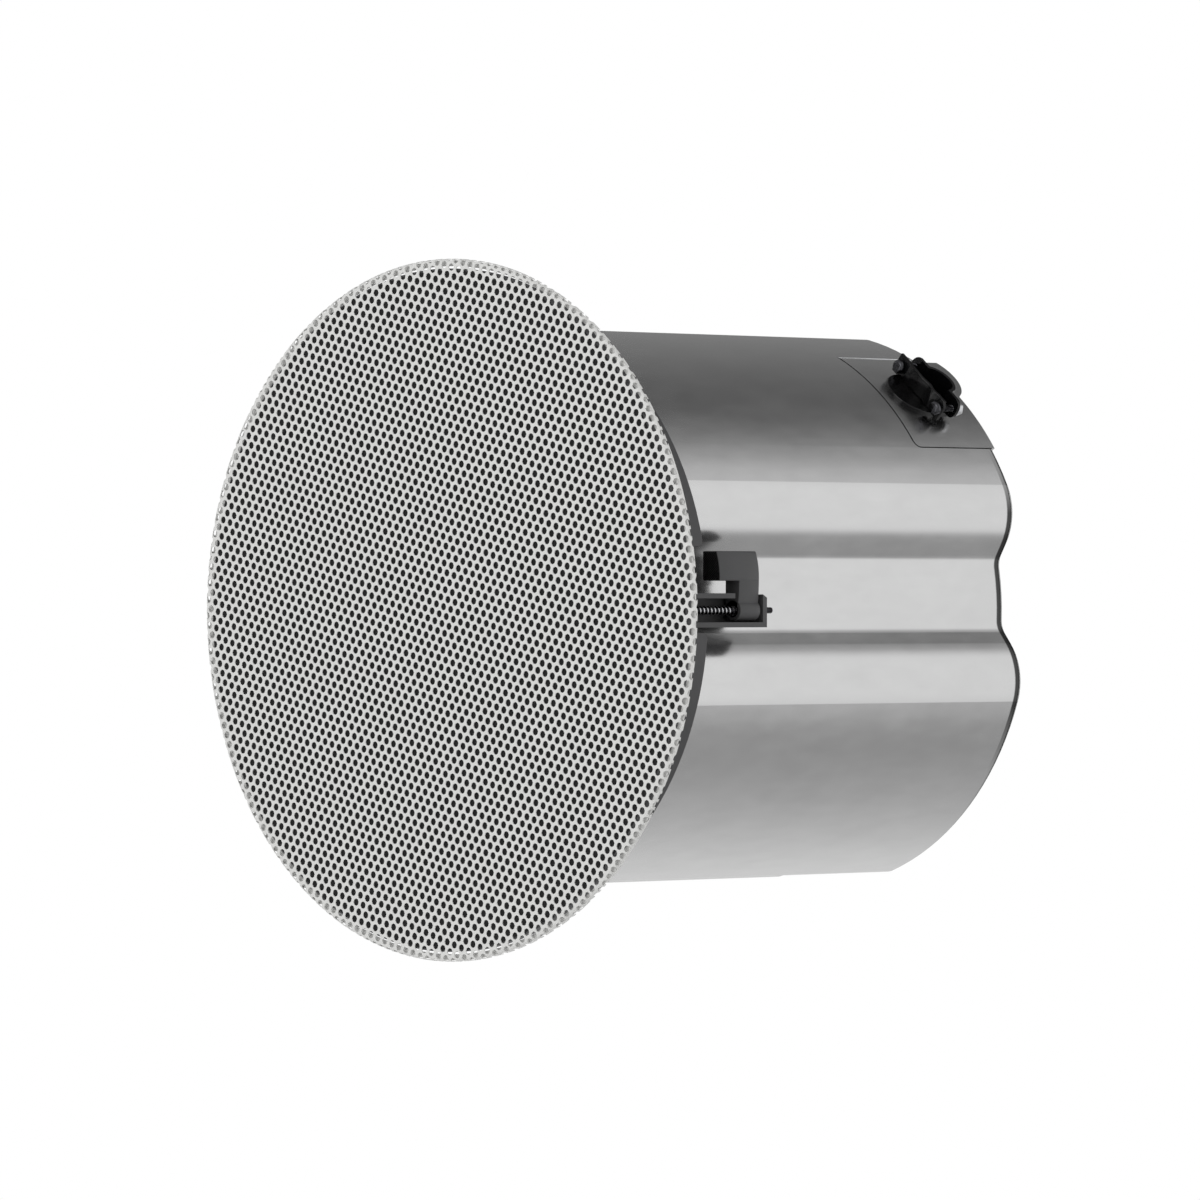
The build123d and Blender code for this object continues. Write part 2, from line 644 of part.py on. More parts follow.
def terminal_cup(outline):
    inner = CAN_R - CUP_DEPTH
    outer = CAN_R - CAN_WALL
    low, high = TERMINAL_Z - 4, CAN_INSIDE_Z
    cup = terminal_sector(inner - CUP_WALL, outer, low, high, CUP_MARGIN)
    side = degrees(CUP_WALL / outer)
    cup -= terminal_sector(inner, outer + 5, low + CUP_WALL, high + 5, CUP_MARGIN - side)
    tab = slab((inner - CUP_WALL / 2, inner + CUP_TAB), (-CUP_TAB / 2, CUP_TAB / 2), (high - CUP_WALL, high))
    cup += around(tab, TERMINAL_ANGLE)
    cup &= Pos(0, 0, CAN_START_Z) * can_hollow(outline)
    return cup - cover_screw_place() * disc(CLAMP_SCREW_R + RUNNING_GAP, -5, 5)


def cover_screw():
    screw = disc(CLAMP_SCREW_R, -6, 0) + disc(CLAMP_HEAD_R - 0.6, 0, 2)
    slot = slab((-2, 2), (-0.45, 0.45), (1, 3))
    return cover_screw_place() * (screw - slot - around(slot, 90))


def terminal_block():
    back = CAN_R - CUP_DEPTH
    low, high = TERMINAL_Z + 4, TERMINAL_Z + 16
    pitch = TERMINAL_PITCH
    half = TERMINAL_COUNT * pitch / 2
    block = slab((back, back + 10), (-half, half), (low, high))
    for way in range(TERMINAL_COUNT):
        centre = -half + pitch * (way + 0.5)
        block -= slab((back + 4, back + 12), (centre - 2, centre + 2), (low - 1, low + 6))
        block -= Pos(back + 8, centre, high - 4) * Rot(0, 90, 0) * Cylinder(1.8, 6)
    return around(block, TERMINAL_ANGLE)


# Cable clamp, in the entry's own frame


def jaw_base():
    return CAN_R + ENTRY_FLANGE_T


def jaw_outline(corner, base):
    """The jaws' outline seen along the can: it stands on the flange, and its ears reach down beside it."""
    half = JAW_SPREAD + JAW_EAR
    top, foot, clear = jaw_base() + JAW_HEIGHT, jaw_base() - JAW_FOOT, ENTRY_FLANGE_R + 0.2
    return make_face(
        Polyline(
            (-half, foot), (-clear, foot), (-clear, base), (clear, base), (clear, foot), (half, foot),
            (half, top - 1.5 * corner), (half - corner, top), (corner - half, top), (-half, top - 1.5 * corner),
            close=True,
        )
    )


def cut_to_outline(jaw, corner, base):
    """The jaw, from a section across the cable, cut to the outline it has seen along the can."""
    reach = STRAP_OFFSET + 5
    return jaw & (Pos(-reach, 0, 0) * extrude(Plane.YZ * jaw_outline(corner, base), 2 * reach))


def entry_axis(side, along, piece):
    """A piece on a cable clamp screw's axis, which runs along the can."""
    height = jaw_base() + ENTRY_SCREW_HEIGHT
    return Pos(along, side * JAW_SPREAD, height) * Rot(0, -90, 0) * piece


def screw_clearances(along):
    return [entry_axis(side, along, Cylinder(ENTRY_SCREW_R + RUNNING_GAP, 8)) for side in (-1, 1)]


def cable_clamp_body():
    base, foot = jaw_base(), jaw_base() - JAW_FOOT
    shape = Circle(ENTRY_FLANGE_R) + Pos(ENTRY_FLANGE_LEAD, 0) * Circle(ENTRY_FLANGE_R)
    shape += Pos(ENTRY_FLANGE_LEAD / 2, 0) * Rectangle(ENTRY_FLANGE_LEAD, 2 * ENTRY_FLANGE_R)
    body = Pos(0, 0, CAN_R - 2) * extrude(shape, base - CAN_R + 2)
    body -= Rot(0, 90, 0) * Cylinder(CAN_R, 4 * (ENTRY_FLANGE_R + ENTRY_FLANGE_LEAD))
    body += disc(ENTRY_R + ENTRY_WALL, CAN_R - ENTRY_DEPTH, base)
    half = JAW_SPREAD + JAW_EAR
    arch = Circle(ENTRY_R + JAW_T) - Circle(ENTRY_R)
    arch -= Pos(ENTRY_R + 2 - REAR_OFFSET, 0) * Rectangle(2 * (ENTRY_R + 2), 4 * ENTRY_R)
    for side in (-1, 1):
        arch += Pos(-REAR_OFFSET - JAW_T / 2, side * (half + ENTRY_R + 0.5) / 2) * Rectangle(JAW_T, half - ENTRY_R - 0.5)
    jaw = Pos(0, 0, foot) * extrude(arch, JAW_HEIGHT + JAW_FOOT)
    body += cut_to_outline(jaw, JAW_EAR, base - 0.5)
    body -= disc(ENTRY_R, CAN_R - ENTRY_DEPTH - 1, base + 0.5)
    for clearance in screw_clearances(-REAR_OFFSET):
        body -= clearance
    return body


def cable_clamp_strap():
    front = [(STRAP_OFFSET + JAW_T + rise, place) for place, rise in STRAP_WAVE]
    back = [(STRAP_OFFSET + rise, place) for place, rise in STRAP_WAVE]
    section = make_face(Polyline(*front, *back[::-1], close=True))
    foot = jaw_base() - JAW_FOOT
    strap = Pos(0, 0, foot) * extrude(section, JAW_HEIGHT + JAW_FOOT)
    strap = cut_to_outline(strap, JAW_CORNER, jaw_base() + 0.1)
    for clearance in screw_clearances(STRAP_OFFSET):
        strap -= clearance
    return strap


def cable_clamp_screws():
    front = STRAP_OFFSET + JAW_T
    length = front + REAR_OFFSET + JAW_T + ENTRY_NUT_T + 0.6
    shank = disc(ENTRY_SCREW_R, 0, length)
    head = Pos(0, 0, -ENTRY_HEAD_T) * Cylinder(ENTRY_HEAD_R, ENTRY_HEAD_T, align=(Align.CENTER, Align.CENTER, Align.MIN))
    head = fillet(head.edges().filter_by(GeomType.CIRCLE).sort_by(Axis.Z)[0], ENTRY_HEAD_T * 0.6)
    screw = head + shank - slab((-4, 4), (-0.4, 0.4), (-ENTRY_HEAD_T - 1, -ENTRY_HEAD_T + 1))
    return group([entry_axis(side, front, screw) for side in (-1, 1)])


def cable_clamp_nuts():
    hexagon = RegularPolygon(ENTRY_NUT_R, 6) - Circle(ENTRY_SCREW_R + RUNNING_GAP)
    nut = extrude(hexagon, ENTRY_NUT_T)
    return group([entry_axis(side, -REAR_OFFSET - JAW_T, nut) for side in (-1, 1)])


def cable_clamp_locknut():
    inside = sqrt((CAN_R - COVER_T) ** 2 - LOCKNUT_R**2)
    nut = ring(LOCKNUT_R, ENTRY_R + ENTRY_WALL + 0.05, inside - LOCKNUT_T, inside)
    for k in range(8):
        nut -= around(slab((LOCKNUT_R - 2, LOCKNUT_R + 2), (-1.5, 1.5), (inside - 9, inside + 9)), 45 * k)
    return nut


# Woofer


def woofer_basket():
    front = PLATE_Z - BASKET_FLANGE_T
    wall = BASKET_WALL
    shell = turned(
        [
            (SURROUND_OUT_R, front), (BASKET_R, front), (BASKET_R, PLATE_Z), (BASKET_THROAT_R, PLATE_Z),
            (BASKET_THROAT_R, PLATE_Z + 8), (BASKET_NECK_R, BASKET_NECK_Z - 1), (BASKET_NECK_R, BASKET_REAR_Z),
            (TOP_PLATE_R - 6, BASKET_REAR_Z), (TOP_PLATE_R - 6, BASKET_REAR_Z - 2),
            (BASKET_NECK_R - wall, BASKET_REAR_Z - 2), (BASKET_NECK_R - wall, BASKET_NECK_Z - 2),
            (SURROUND_OUT_R, PLATE_Z + 7),
        ]
    )
    depth = BASKET_NECK_Z - PLATE_Z
    window = slab((BASKET_NECK_R - 12, BASKET_R), (-15, 15), (PLATE_Z + depth * 0.28, PLATE_Z + depth * 0.72))
    for k in range(BASKET_WINDOWS):
        shell -= around(window, 360 / BASKET_WINDOWS * k)
    shell += ring(BASKET_NECK_R + 0.6, BASKET_NECK_R - 7, SPIDER_LEDGE_Z, SPIDER_LEDGE_Z + 2)
    for k in range(WOOFER_SCREWS):
        hole = disc(WOOFER_SCREW_R + 0.2, front - 1, PLATE_Z + 1)
        shell -= at(WOOFER_SCREW_PITCH_R, 360 / WOOFER_SCREWS * (k + 0.5), hole)
    return shell


def woofer_screws():
    front = PLATE_Z - BASKET_FLANGE_T
    screw = disc(WOOFER_SCREW_R * 1.85, front - 2, front) + disc(WOOFER_SCREW_R, front, PLATE_BACK_Z + 3)
    screw -= cross_recess(front - 2, 2.2)
    return group([at(WOOFER_SCREW_PITCH_R, 360 / WOOFER_SCREWS * (k + 0.5), screw) for k in range(WOOFER_SCREWS)])


def surround_centre():
    return (CONE_EDGE_R + SURROUND_OUT_R) / 2, (SURROUND_OUT_R - CONE_EDGE_R) / 2


def woofer_surround():
    """A half roll of rubber between the basket's flange and the cone's edge."""
    front = PLATE_Z - BASKET_FLANGE_T
    middle, roll = surround_centre()
    half = Plane.XZ * (
        Pos(middle, front) * (Circle(roll) - Circle(roll - SURROUND_T))
        - Pos(middle, front + roll) * Rectangle(4 * roll, 2 * roll)
    )
    body = revolve(half, Axis.Z)
    body += ring(SURROUND_OUT_R + SURROUND_LIP, SURROUND_OUT_R - SURROUND_T, front - SURROUND_T, front)
    body += ring(CONE_EDGE_R + SURROUND_T, CONE_EDGE_R - 4, front - SURROUND_T, front)
    return body


def woofer_cone():
    front = PLATE_Z - BASKET_FLANGE_T
    neck = COIL_IN_R + COIL_WALL
    return turned(
        [
            (CONE_EDGE_R, front), (CONE_EDGE_R, front + CONE_T), (CONE_EDGE_R - 3.2, front + CONE_T),
            (neck + 10, CONE_NECK_Z - 7), (neck, CONE_NECK_Z + 1), (neck, CONE_NECK_Z - 0.8),
            (neck + 9.5, CONE_NECK_Z - 8.2), (CONE_EDGE_R - 4.2, front),
        ]
    )


def voice_coil_former():
    return ring(COIL_IN_R + COIL_WALL, COIL_IN_R, COIL_START_Z, COIL_END_Z)


def voice_coil_winding():
    inner = COIL_IN_R + COIL_WALL
    return ring(inner + COIL_WIRE, inner, COIL_END_Z - COIL_WIND, COIL_END_Z)


def woofer_spider():
    """A corrugated cloth disc between the former and the basket's ledge."""
    inner, outer = COIL_IN_R + COIL_WALL, BASKET_NECK_R - 4
    middle, swing, thick, waves, steps = SPIDER_LEDGE_Z - 2, 1.3, 0.5, 4, 8
    span = outer - 3 - inner
    front, back = [], []
    for k in range(waves * steps + 1):
        share = k / (waves * steps)
        height = middle - swing * sin(2 * pi * waves * share)
        front.append((inner + span * share, height - thick / 2))
        back.append((inner + span * share, height + thick / 2))
    rim = [(outer - 1.6, SPIDER_LEDGE_Z - thick), (outer, SPIDER_LEDGE_Z - thick)]
    rim += [(outer, SPIDER_LEDGE_Z), (outer - 1.8, SPIDER_LEDGE_Z)]
    return turned(front + rim + back[::-1])


def top_plate():
    return ring(TOP_PLATE_R, GAP_R, BASKET_REAR_Z, BASKET_REAR_Z + TOP_PLATE_T)


def magnet_front():
    return BASKET_REAR_Z + TOP_PLATE_T


def woofer_magnet():
    return ring(MAGNET_RING_R, MAGNET_RING_HOLE_R, magnet_front(), magnet_front() + MAGNET_RING_T)


def woofer_yoke():
    back = magnet_front() + MAGNET_RING_T
    yoke = disc(MAGNET_RING_R - 1.5, back, back + YOKE_T) + disc(POLE_R, BASKET_REAR_Z - 1, back)
    return yoke - disc(POLE_BORE_R, 0, back + YOKE_T + 1)


# Tweeter


def tweeter_back():
    return TWEETER_FRONT_Z + TWEETER_DEPTH


def tweeter_housing():
    cup = disc(TWEETER_R, TWEETER_FRONT_Z + 2, tweeter_back())
    cup -= disc(TWEETER_R - TWEETER_WALL, TWEETER_FRONT_Z, tweeter_back() - TWEETER_WALL)
    collar_back = BASKET_REAR_Z - 1
    cup += disc(POLE_BORE_R - 0.1, tweeter_back() - TWEETER_WALL, magnet_front() + MAGNET_RING_T - 1)
    cup += disc(POLE_BORE_R + 4, collar_back - 3, collar_back)
    return cup


def tweeter_faceplate():
    plate = ring(TWEETER_R, DOME_R + 1.5, TWEETER_FRONT_Z, TWEETER_FRONT_Z + 2)
    return chamfer(plate.edges().filter_by(GeomType.CIRCLE).sort_by(Axis.Z)[0], 0.6)


def tweeter_dome():
    rise = 3.2
    radius = (DOME_R**2 + rise**2) / (2 * rise)
    seat = TWEETER_FRONT_Z + 2
    dome = Pos(0, 0, seat - rise + radius) * (Sphere(radius) - Sphere(radius - 0.5))
    dome &= disc(DOME_R, seat - rise - 1, seat)
    return dome + ring(TWEETER_R - TWEETER_WALL - 0.1, DOME_R - 0.6, seat, seat + 0.6)


def tweeter_magnet():
    return disc(TWEETER_R - TWEETER_WALL - 0.3, TWEETER_FRONT_Z + 6, tweeter_back() - TWEETER_WALL)


# Port and tap switch


def port_tube():
    tube = ring(PORT_R, PORT_R - PORT_WALL, PLATE_Z, PLATE_Z + PORT_LENGTH)
    tube += ring(PORT_FLARE_R, PORT_R - PORT_WALL, PLATE_Z - 1.5, PLATE_Z)
    return at(PORT_PITCH_R, LOBES[1], tube)


def tap_frame():
    return Rot(0, 0, LOBES[0]) * Pos(TAP_PITCH_R, 0, 0)


def tap_switch():
    half = TAP_BODY / 2
    body = slab((-half, half), (-half, half), (PLATE_BACK_Z, PLATE_BACK_Z + TAP_BODY_T))
    body += disc(TAP_SHAFT_R + 1.5, PLATE_Z, PLATE_BACK_Z)
    return tap_frame() * (body - disc(TAP_SHAFT_R + RUNNING_GAP, PLATE_Z - 1, PLATE_BACK_Z + TAP_BODY_T - 4))


def tap_dial():
    dial = ring(TAP_DIAL_R, TAP_SHAFT_R + 2, PLATE_Z - TAP_DIAL_T, PLATE_Z)
    for mark in range(TAP_MARKS):
        angle = 180 + TAP_STEP * (mark - (TAP_MARKS - 1) / 2)
        tick = slab((TAP_KNOB_R + 1.4, TAP_DIAL_R - 1), (-0.4, 0.4), (PLATE_Z - 1, PLATE_Z - TAP_DIAL_T / 2))
        dial -= around(tick, angle)
    return tap_frame() * dial


def tap_shaft():
    low = PLATE_Z - TAP_DIAL_T - TAP_KNOB_T
    shaft = disc(TAP_SHAFT_R, low + 2, PLATE_BACK_Z + TAP_BODY_T - 4.5)
    return tap_frame() * shaft


def tap_knob():
    high = PLATE_Z - TAP_DIAL_T - 0.3
    knob = disc(TAP_KNOB_R, high - TAP_KNOB_T, high)
    for k in range(18):
        groove = Pos(TAP_KNOB_R + 0.5, 0, 0) * disc(1.1, high - TAP_KNOB_T - 1, high - 1)
        knob -= around(groove, 20 * k)
    knob -= disc(TAP_SHAFT_R, PLATE_Z - TAP_DIAL_T - TAP_KNOB_T + 2, high + 1)
    knob -= slab((-TAP_KNOB_R, 0), (-0.6, 0.6), (high - TAP_KNOB_T - 1, high - TAP_KNOB_T + 0.8))
    return tap_frame() * knob


# Electrical parts


def board_top():
    return CAN_INSIDE_Z - STANDOFF


def crossover_board():
    board = Box(BOARD_LENGTH, BOARD_WIDTH, BOARD_T, align=(Align.CENTER, Align.CENTER, Align.MAX))
    return Pos(BOARD_X, BOARD_Y, board_top()) * board


def board_standoffs():
    post = disc(STANDOFF_R, board_top(), CAN_INSIDE_Z)
    dx, dy = BOARD_LENGTH / 2 - 6, BOARD_WIDTH / 2 - 6
    return group([Pos(BOARD_X + sx * dx, BOARD_Y + sy * dy, 0) * post for sx in (-1, 1) for sy in (-1, 1)])


def under_board(x, y, piece):
    return Pos(BOARD_X + x, BOARD_Y + y, board_top() - BOARD_T) * piece


def inductor():
    bore, flange, cheek = 6, INDUCTOR_R + 2, 1.5
    spool = ring(INDUCTOR_R, bore, -INDUCTOR_T, 0)
    spool += ring(flange, bore, -cheek, 0) + ring(flange, bore, -INDUCTOR_T - cheek, -INDUCTOR_T)
    return under_board(INDUCTOR_X, INDUCTOR_Y, spool)


def capacitors():
    can = Rot(0, 90, 0) * Cylinder(CAPACITOR_R, CAPACITOR_LENGTH)
    return group([under_board(CAPACITOR_X, y, Pos(0, 0, -CAPACITOR_R) * can) for y in (-14, 6)])


def resistor():
    return under_board(RESISTOR_X, RESISTOR_Y, slab((-14, 14), (-4.5, 4.5), (-9, 0)))


def core_frame():
    return Pos(CORE_X, CORE_Y, CAN_INSIDE_Z - 3)


def transformer_core():
    half_x, half_y = CORE_LENGTH / 2, CORE_WIDTH / 2
    core = slab((-half_x, half_x), (-half_y, half_y), (-CORE_HEIGHT, 0))
    limb = CORE_LENGTH / 6
    for side in (-1, 1):
        span = sorted((side * limb, side * 2 * limb))
        core -= slab(span, (-half_y - 1, half_y + 1), (-CORE_HEIGHT + limb, -limb))
    return core_frame() * core


def transformer_winding():
    limb = CORE_LENGTH / 6
    over, gap = 8.0, 0.2
    half_y = CORE_WIDTH / 2
    low, high = -CORE_HEIGHT + limb + gap, -limb - gap
    coil = slab((-2 * limb + gap, 2 * limb - gap), (-half_y - over, half_y + over), (low, high))
    coil -= slab((-limb - gap, limb + gap), (-half_y - gap, half_y + gap), (low - 1, high + 1))
    return core_frame() * coil


def transformer_bracket():
    half_x, half_y, sheet = CORE_LENGTH / 2, CORE_WIDTH / 2 - 2, 1.5
    bracket = slab((-half_x - 12, half_x + 12), (-half_y, half_y), (3 - sheet, 3))
    for side in (-1, 1):
        span = sorted((side * (half_x + 0.1), side * (half_x + 0.1 + sheet)))
        bracket += slab(span, (-half_y, half_y), (-CORE_HEIGHT * 0.6, 3))
    return core_frame() * (bracket + slab((-half_x, half_x), (-half_y, half_y), (0, 3 - sheet)))


def build_parts():
    outline = can_outline()
    parts = {
        "grille": grille(),
        "grille_scrim": grille_scrim(),
        "grille_magnets": grille_magnets(),
        "baffle_rim": baffle_rim(),
        "baffle": baffle(),
        "can_gasket": can_gasket(outline),
        "back_can": back_can(outline),
        "can_screws": can_screws(),
        "damping_liner": damping_liner(outline),
        "safety_anchor": safety_anchor(),
        "anchor_rivets": anchor_rivets(),
        "terminal_cup": terminal_cup(outline),
        "terminal_cover": terminal_cover(),
        "cover_screw": cover_screw(),
        "terminal_block": terminal_block(),
        "cable_clamp_body": entry_frame() * cable_clamp_body(),
        "cable_clamp_strap": entry_frame() * cable_clamp_strap(),
        "cable_clamp_screws": entry_frame() * cable_clamp_screws(),
        "cable_clamp_nuts": entry_frame() * cable_clamp_nuts(),
        "cable_clamp_locknut": entry_frame() * cable_clamp_locknut(),
        "woofer_basket": woofer_basket(),
        "woofer_screws": woofer_screws(),
        "woofer_surround": woofer_surround(),
        "woofer_cone": woofer_cone(),
        "voice_coil_former": voice_coil_former(),
        "voice_coil_winding": voice_coil_winding(),
        "woofer_spider": woofer_spider(),
        "top_plate": top_plate(),
        "woofer_magnet": woofer_magnet(),
        "woofer_yoke": woofer_yoke(),
        "tweeter_housing": tweeter_housing(),
        "tweeter_faceplate": tweeter_faceplate(),
        "tweeter_dome": tweeter_dome(),
        "tweeter_magnet": tweeter_magnet(),
        "port_tube": port_tube(),
        "tap_switch": tap_switch(),
        "tap_dial": tap_dial(),
        "tap_shaft": tap_shaft(),
        "tap_knob": tap_knob(),
        "crossover_board": crossover_board(),
        "board_standoffs": board_standoffs(),
        "inductor": inductor(),
        "capacitors": capacitors(),
        "resistor": resistor(),
        "transformer_core": transformer_core(),
        "transformer_winding": transformer_winding(),
        "transformer_bracket": transformer_bracket(),
    }
    for number, angle in enumerate(CLAMP_ANGLES, 1):
        place = clamp_frame(angle)
        parts[f"clamp_arm_{number}"] = place * clamp_arm()
        parts[f"clamp_nut_{number}"] = place * clamp_nut()
        parts[f"clamp_screw_{number}"] = place * clamp_screw()
    return parts


os.makedirs("parts", exist_ok=True)
for name, part in build_parts().items():
    export_step(part, f"parts/{name}.step")
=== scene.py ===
import json
from math import atan2, cos, pi, radians, sin, sqrt

import bmesh
import bpy
from bpy.props import FloatProperty, FloatVectorProperty, IntProperty, PointerProperty
from mathutils import Matrix, Vector


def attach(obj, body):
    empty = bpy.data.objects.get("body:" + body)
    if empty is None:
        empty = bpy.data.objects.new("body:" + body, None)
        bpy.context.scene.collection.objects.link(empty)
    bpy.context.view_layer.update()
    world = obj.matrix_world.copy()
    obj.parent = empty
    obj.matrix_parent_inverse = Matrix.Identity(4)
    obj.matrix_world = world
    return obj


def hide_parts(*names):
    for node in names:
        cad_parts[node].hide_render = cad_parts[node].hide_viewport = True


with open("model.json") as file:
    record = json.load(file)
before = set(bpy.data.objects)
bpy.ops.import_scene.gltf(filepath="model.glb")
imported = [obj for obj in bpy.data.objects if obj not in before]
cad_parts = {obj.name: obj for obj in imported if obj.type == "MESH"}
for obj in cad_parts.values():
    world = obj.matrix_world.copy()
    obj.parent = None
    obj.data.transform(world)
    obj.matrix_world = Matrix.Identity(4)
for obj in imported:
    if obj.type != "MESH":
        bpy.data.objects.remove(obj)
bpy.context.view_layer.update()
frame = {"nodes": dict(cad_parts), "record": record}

bl_info = {
    "name": "In ceiling speaker",
    "version": (1, 0, 0),
    "blender": (4, 5, 0),
    "location": "3D View > Sidebar > Speaker",
    "description": "Dresses a flush ceiling loudspeaker: grille, drawn steel can, clamps and cable entry",
    "category": "Add Mesh",
}

MM = 0.001

# Places that the solids give, in millimetres and degrees
CLAMP_ANGLES = (0.0, 90.0, 180.0, -90.0)
CLAMP_AXIS_R = 120.4
ENTRY_ANGLE = -49.3
ENTRY_Z = 215.6
CAN_R = 122.15
PAD_LOW, ARM_LOW, ARM_HIGH = 40.6, 52.7, 64.7
ARM_OUTER = 3.75
SCREW_END = 75.7
THREAD_LOW, THREAD_HIGH = 15.4, SCREW_END - 4.2
THREAD_STEPS = 14
ARM_CREST, ARM_FALL_PAD, ARM_FALL_BARREL = -14.3, 0.0185, 0.005
FLANGE_TOP = 124.05
JAW_TOP = 132.25
JAW_HALF = 17.3
JAW_SHEET = 1.5
EAR_ROUND = 3.2
ENTRY_BORE_R = 7.6
STRAP_FRONT = 8.6
ENTRY_SCREW_SIDE, ENTRY_SCREW_RISE = 14.1, 3.3
CAN_END = 0.2375  # in metres, as its material reads it
COVER_LOW = 187.15
COVER_SIDES = (-63.9, -34.9)
COVER_CORNER = 3.5

# Details that only this script makes, in millimetres
LIP_SHEET, LIP_REACH, LIP_GAP = 0.6, 2.5, 0.02
VEIL_INNER, VEIL_OUTER, VEIL_LOW, VEIL_HIGH = 124.2, 143.5, 0.45, 0.56
KNURL_LOW, KNURL_HIGH = (-5.8, -24.4), (3.5, -12.6)
KNURL_DEPTH = 0.34
KNURL_SQUASH = 0.8
SIDE_OVER_DIAGONAL = 0.7071
# Painted dark reflection on the can's rear rim, in millimetres: it ramps in from 5.8 to 5.1 mm short of the
# rear end, from X 50 to 60 and from |Y| 70 down to 42
PAINTED_DARK_RIM_Z, PAINTED_DARK_RIM_X, PAINTED_DARK_RIM_Y = (5.8, 5.1), (50, 60), (70, 42)

# The studio as the can mirrors it: brightness by direction from +X in degrees, at 45 degrees up
STUDIO_RING = (
    (-180, 0.3), (-131, 0.25), (-98, 0.15), (-84, 0.17), (-68, 0.38), (-57, 0.8), (-48, 1.15), (34, 1.15),
    (41, 0.62), (48, 0.46), (60, 0.45), (85, 0.6), (104, 0.75), (125, 0.88),
)
LOW_STUDIO = 0.45
ZENITH = 0.05
OVERHEAD = 2.2
SOFTBOX_PLACE, SOFTBOX_SIZE, SOFTBOX_AIM = (0.2, -0.5, -2.3), 2.0, (0, 0, 0.05)
CAMERA_PLACE = (2.43774, -0.0043, -2.34287)


def linear(code):
    """An sRGB hex colour as linear red, green and blue."""
    parts = [int(code[k : k + 2], 16) / 255 for k in (0, 2, 4)]
    return tuple(p / 12.92 if p <= 0.04045 else ((p + 0.055) / 1.055) ** 2.4 for p in parts)


def colour(name, description, code):
    return FloatVectorProperty(
        name=name, description=description, subtype="COLOR", size=3, min=0, max=1, default=linear(code)
    )


def length(name, description, millimetres):
    return FloatProperty(
        name=name, description=description, default=millimetres * MM, min=0, unit="LENGTH", precision=5
    )


class SpeakerSizes(bpy.types.PropertyGroup):
    grille_radius: length("Grille radius", "Outer radius of the grille's rolled edge", 148.5)
    grille_sheet: length("Grille sheet", "Thickness of the sheet at the perforations", 0.35)
    grille_roll: length("Grille roll", "Outer radius of the rolled edge's bend", 2.0)
    grille_depth: length("Grille depth", "Depth of the grille from its face to its back edge", 2.9)
    hole_pitch: length("Hole pitch", "Distance between rows, and between holes in a row", 4.0)
    hole_radius: length("Hole radius", "Radius of one perforation", 1.62)
    hole_turn: FloatProperty(
        name="Hole turn", description="Direction of the rows of perforations", default=radians(-48.2),
        subtype="ANGLE",
    )
    screw_radius: length("Screw radius", "Outer radius of a clamp screw's thread", 1.75)
    screw_pitch: length("Screw pitch", "Pitch of a clamp screw's thread", 2.2)
    knurl_pitch: length("Knurl pitch", "Width of one diamond on a clamp pad", 1.3)
    hole_sides: IntProperty(
        name="Hole sides", description="Sides of each perforation", default=8, min=6, max=12
    )


class SpeakerFinishes(bpy.types.PropertyGroup):
    grille_paint: colour("Grille paint", "Powder coat of the grille", "e2e2e0")
    can_steel: colour("Can steel", "Bare drawn steel of the can", "c6c6c6")
    moulded_plastic: colour("Moulded plastic", "Baffle, channels and clamp arms", "4c4c4d")
    black_enamel: colour("Black enamel", "Cable clamp", "0a0a0b")
    black_nickel: colour("Black nickel", "Screws of the swing clamps", "303033")
    dark_zinc: colour("Dark zinc", "Screw heads of the cable clamp", "4a4a4d")
    zinc_plate: colour("Zinc plate", "Nuts, anchor and magnet plates", "c9cacc")
    scrim: colour("Scrim cloth", "Cloth behind the grille", "060607")
    cone: colour("Cone", "Coated paper cone", "3a3a3d")
    rubber: colour("Rubber", "Surround and gasket", "242425")
    spider: colour("Spider", "Resin-dipped cotton", "b38a4a")
    kraft: colour("Kraft paper", "Coil former", "a9835a")
    copper: colour("Copper", "Enamelled copper wire", "c7733e")
    ferrite: colour("Ferrite", "Ground ferrite magnets", "3b3b3d")
    laminate: colour("Laminate", "Circuit board", "1f5a35")
    nylon: colour("Nylon", "Terminal block and standoffs", "b9b29f")
    tape: colour("Winding tape", "Polyester tape on windings and capacitors", "b08a1e")
    felt: colour("Felt", "Damping liner", "5b5b5c")
    core: colour("Core steel", "Transformer laminations", "6d6a68")


class StageSettings(bpy.types.PropertyGroup):
    backdrop: colour("Backdrop", "What the camera sees behind the speaker", "ffffff")
    floor: colour("Floor", "Studio floor", "f1f1f1")
    studio: FloatProperty(
        name="Studio", description="Strength of the studio around the speaker", default=1.0, min=0
    )
    front_power: FloatProperty(
        name="Front softbox", description="Power of the softbox in front of the grille", default=21.0, min=0
    )
    lens: FloatProperty(
        name="Lens", description="Focal length of the camera", default=240.0, min=1, unit="CAMERA"
    )
    drop: length("Floor drop", "How far the floor lies below the speaker", 3000.0)


# Materials


def add_node(tree, kind, inputs=None, **settings):
    """Adds a node with its settings, and sets or links its inputs by name or number."""
    node = tree.nodes.new(kind)
    for key, value in settings.items():
        setattr(node, key, value)
    for key, value in (inputs or {}).items():
        if isinstance(value, bpy.types.NodeSocket):
            tree.links.new(value, node.inputs[key])
        else:
            node.inputs[key].default_value = value
    return node


def start_material(name, base, metallic, roughness, **extra):
    """A material with its shader, whose even values stand on the shader's own sockets."""
    material = bpy.data.materials.new(name)
    material.use_nodes = True
    tree = material.node_tree
    shader = tree.nodes["Principled BSDF"]
    shader.inputs["Base Color"].default_value = (*base, 1)
    shader.inputs["Metallic"].default_value = metallic
    shader.inputs["Roughness"].default_value = roughness
    for key, value in extra.items():
        shader.inputs[key.replace("_", " ")].default_value = value
    return material, tree, shader


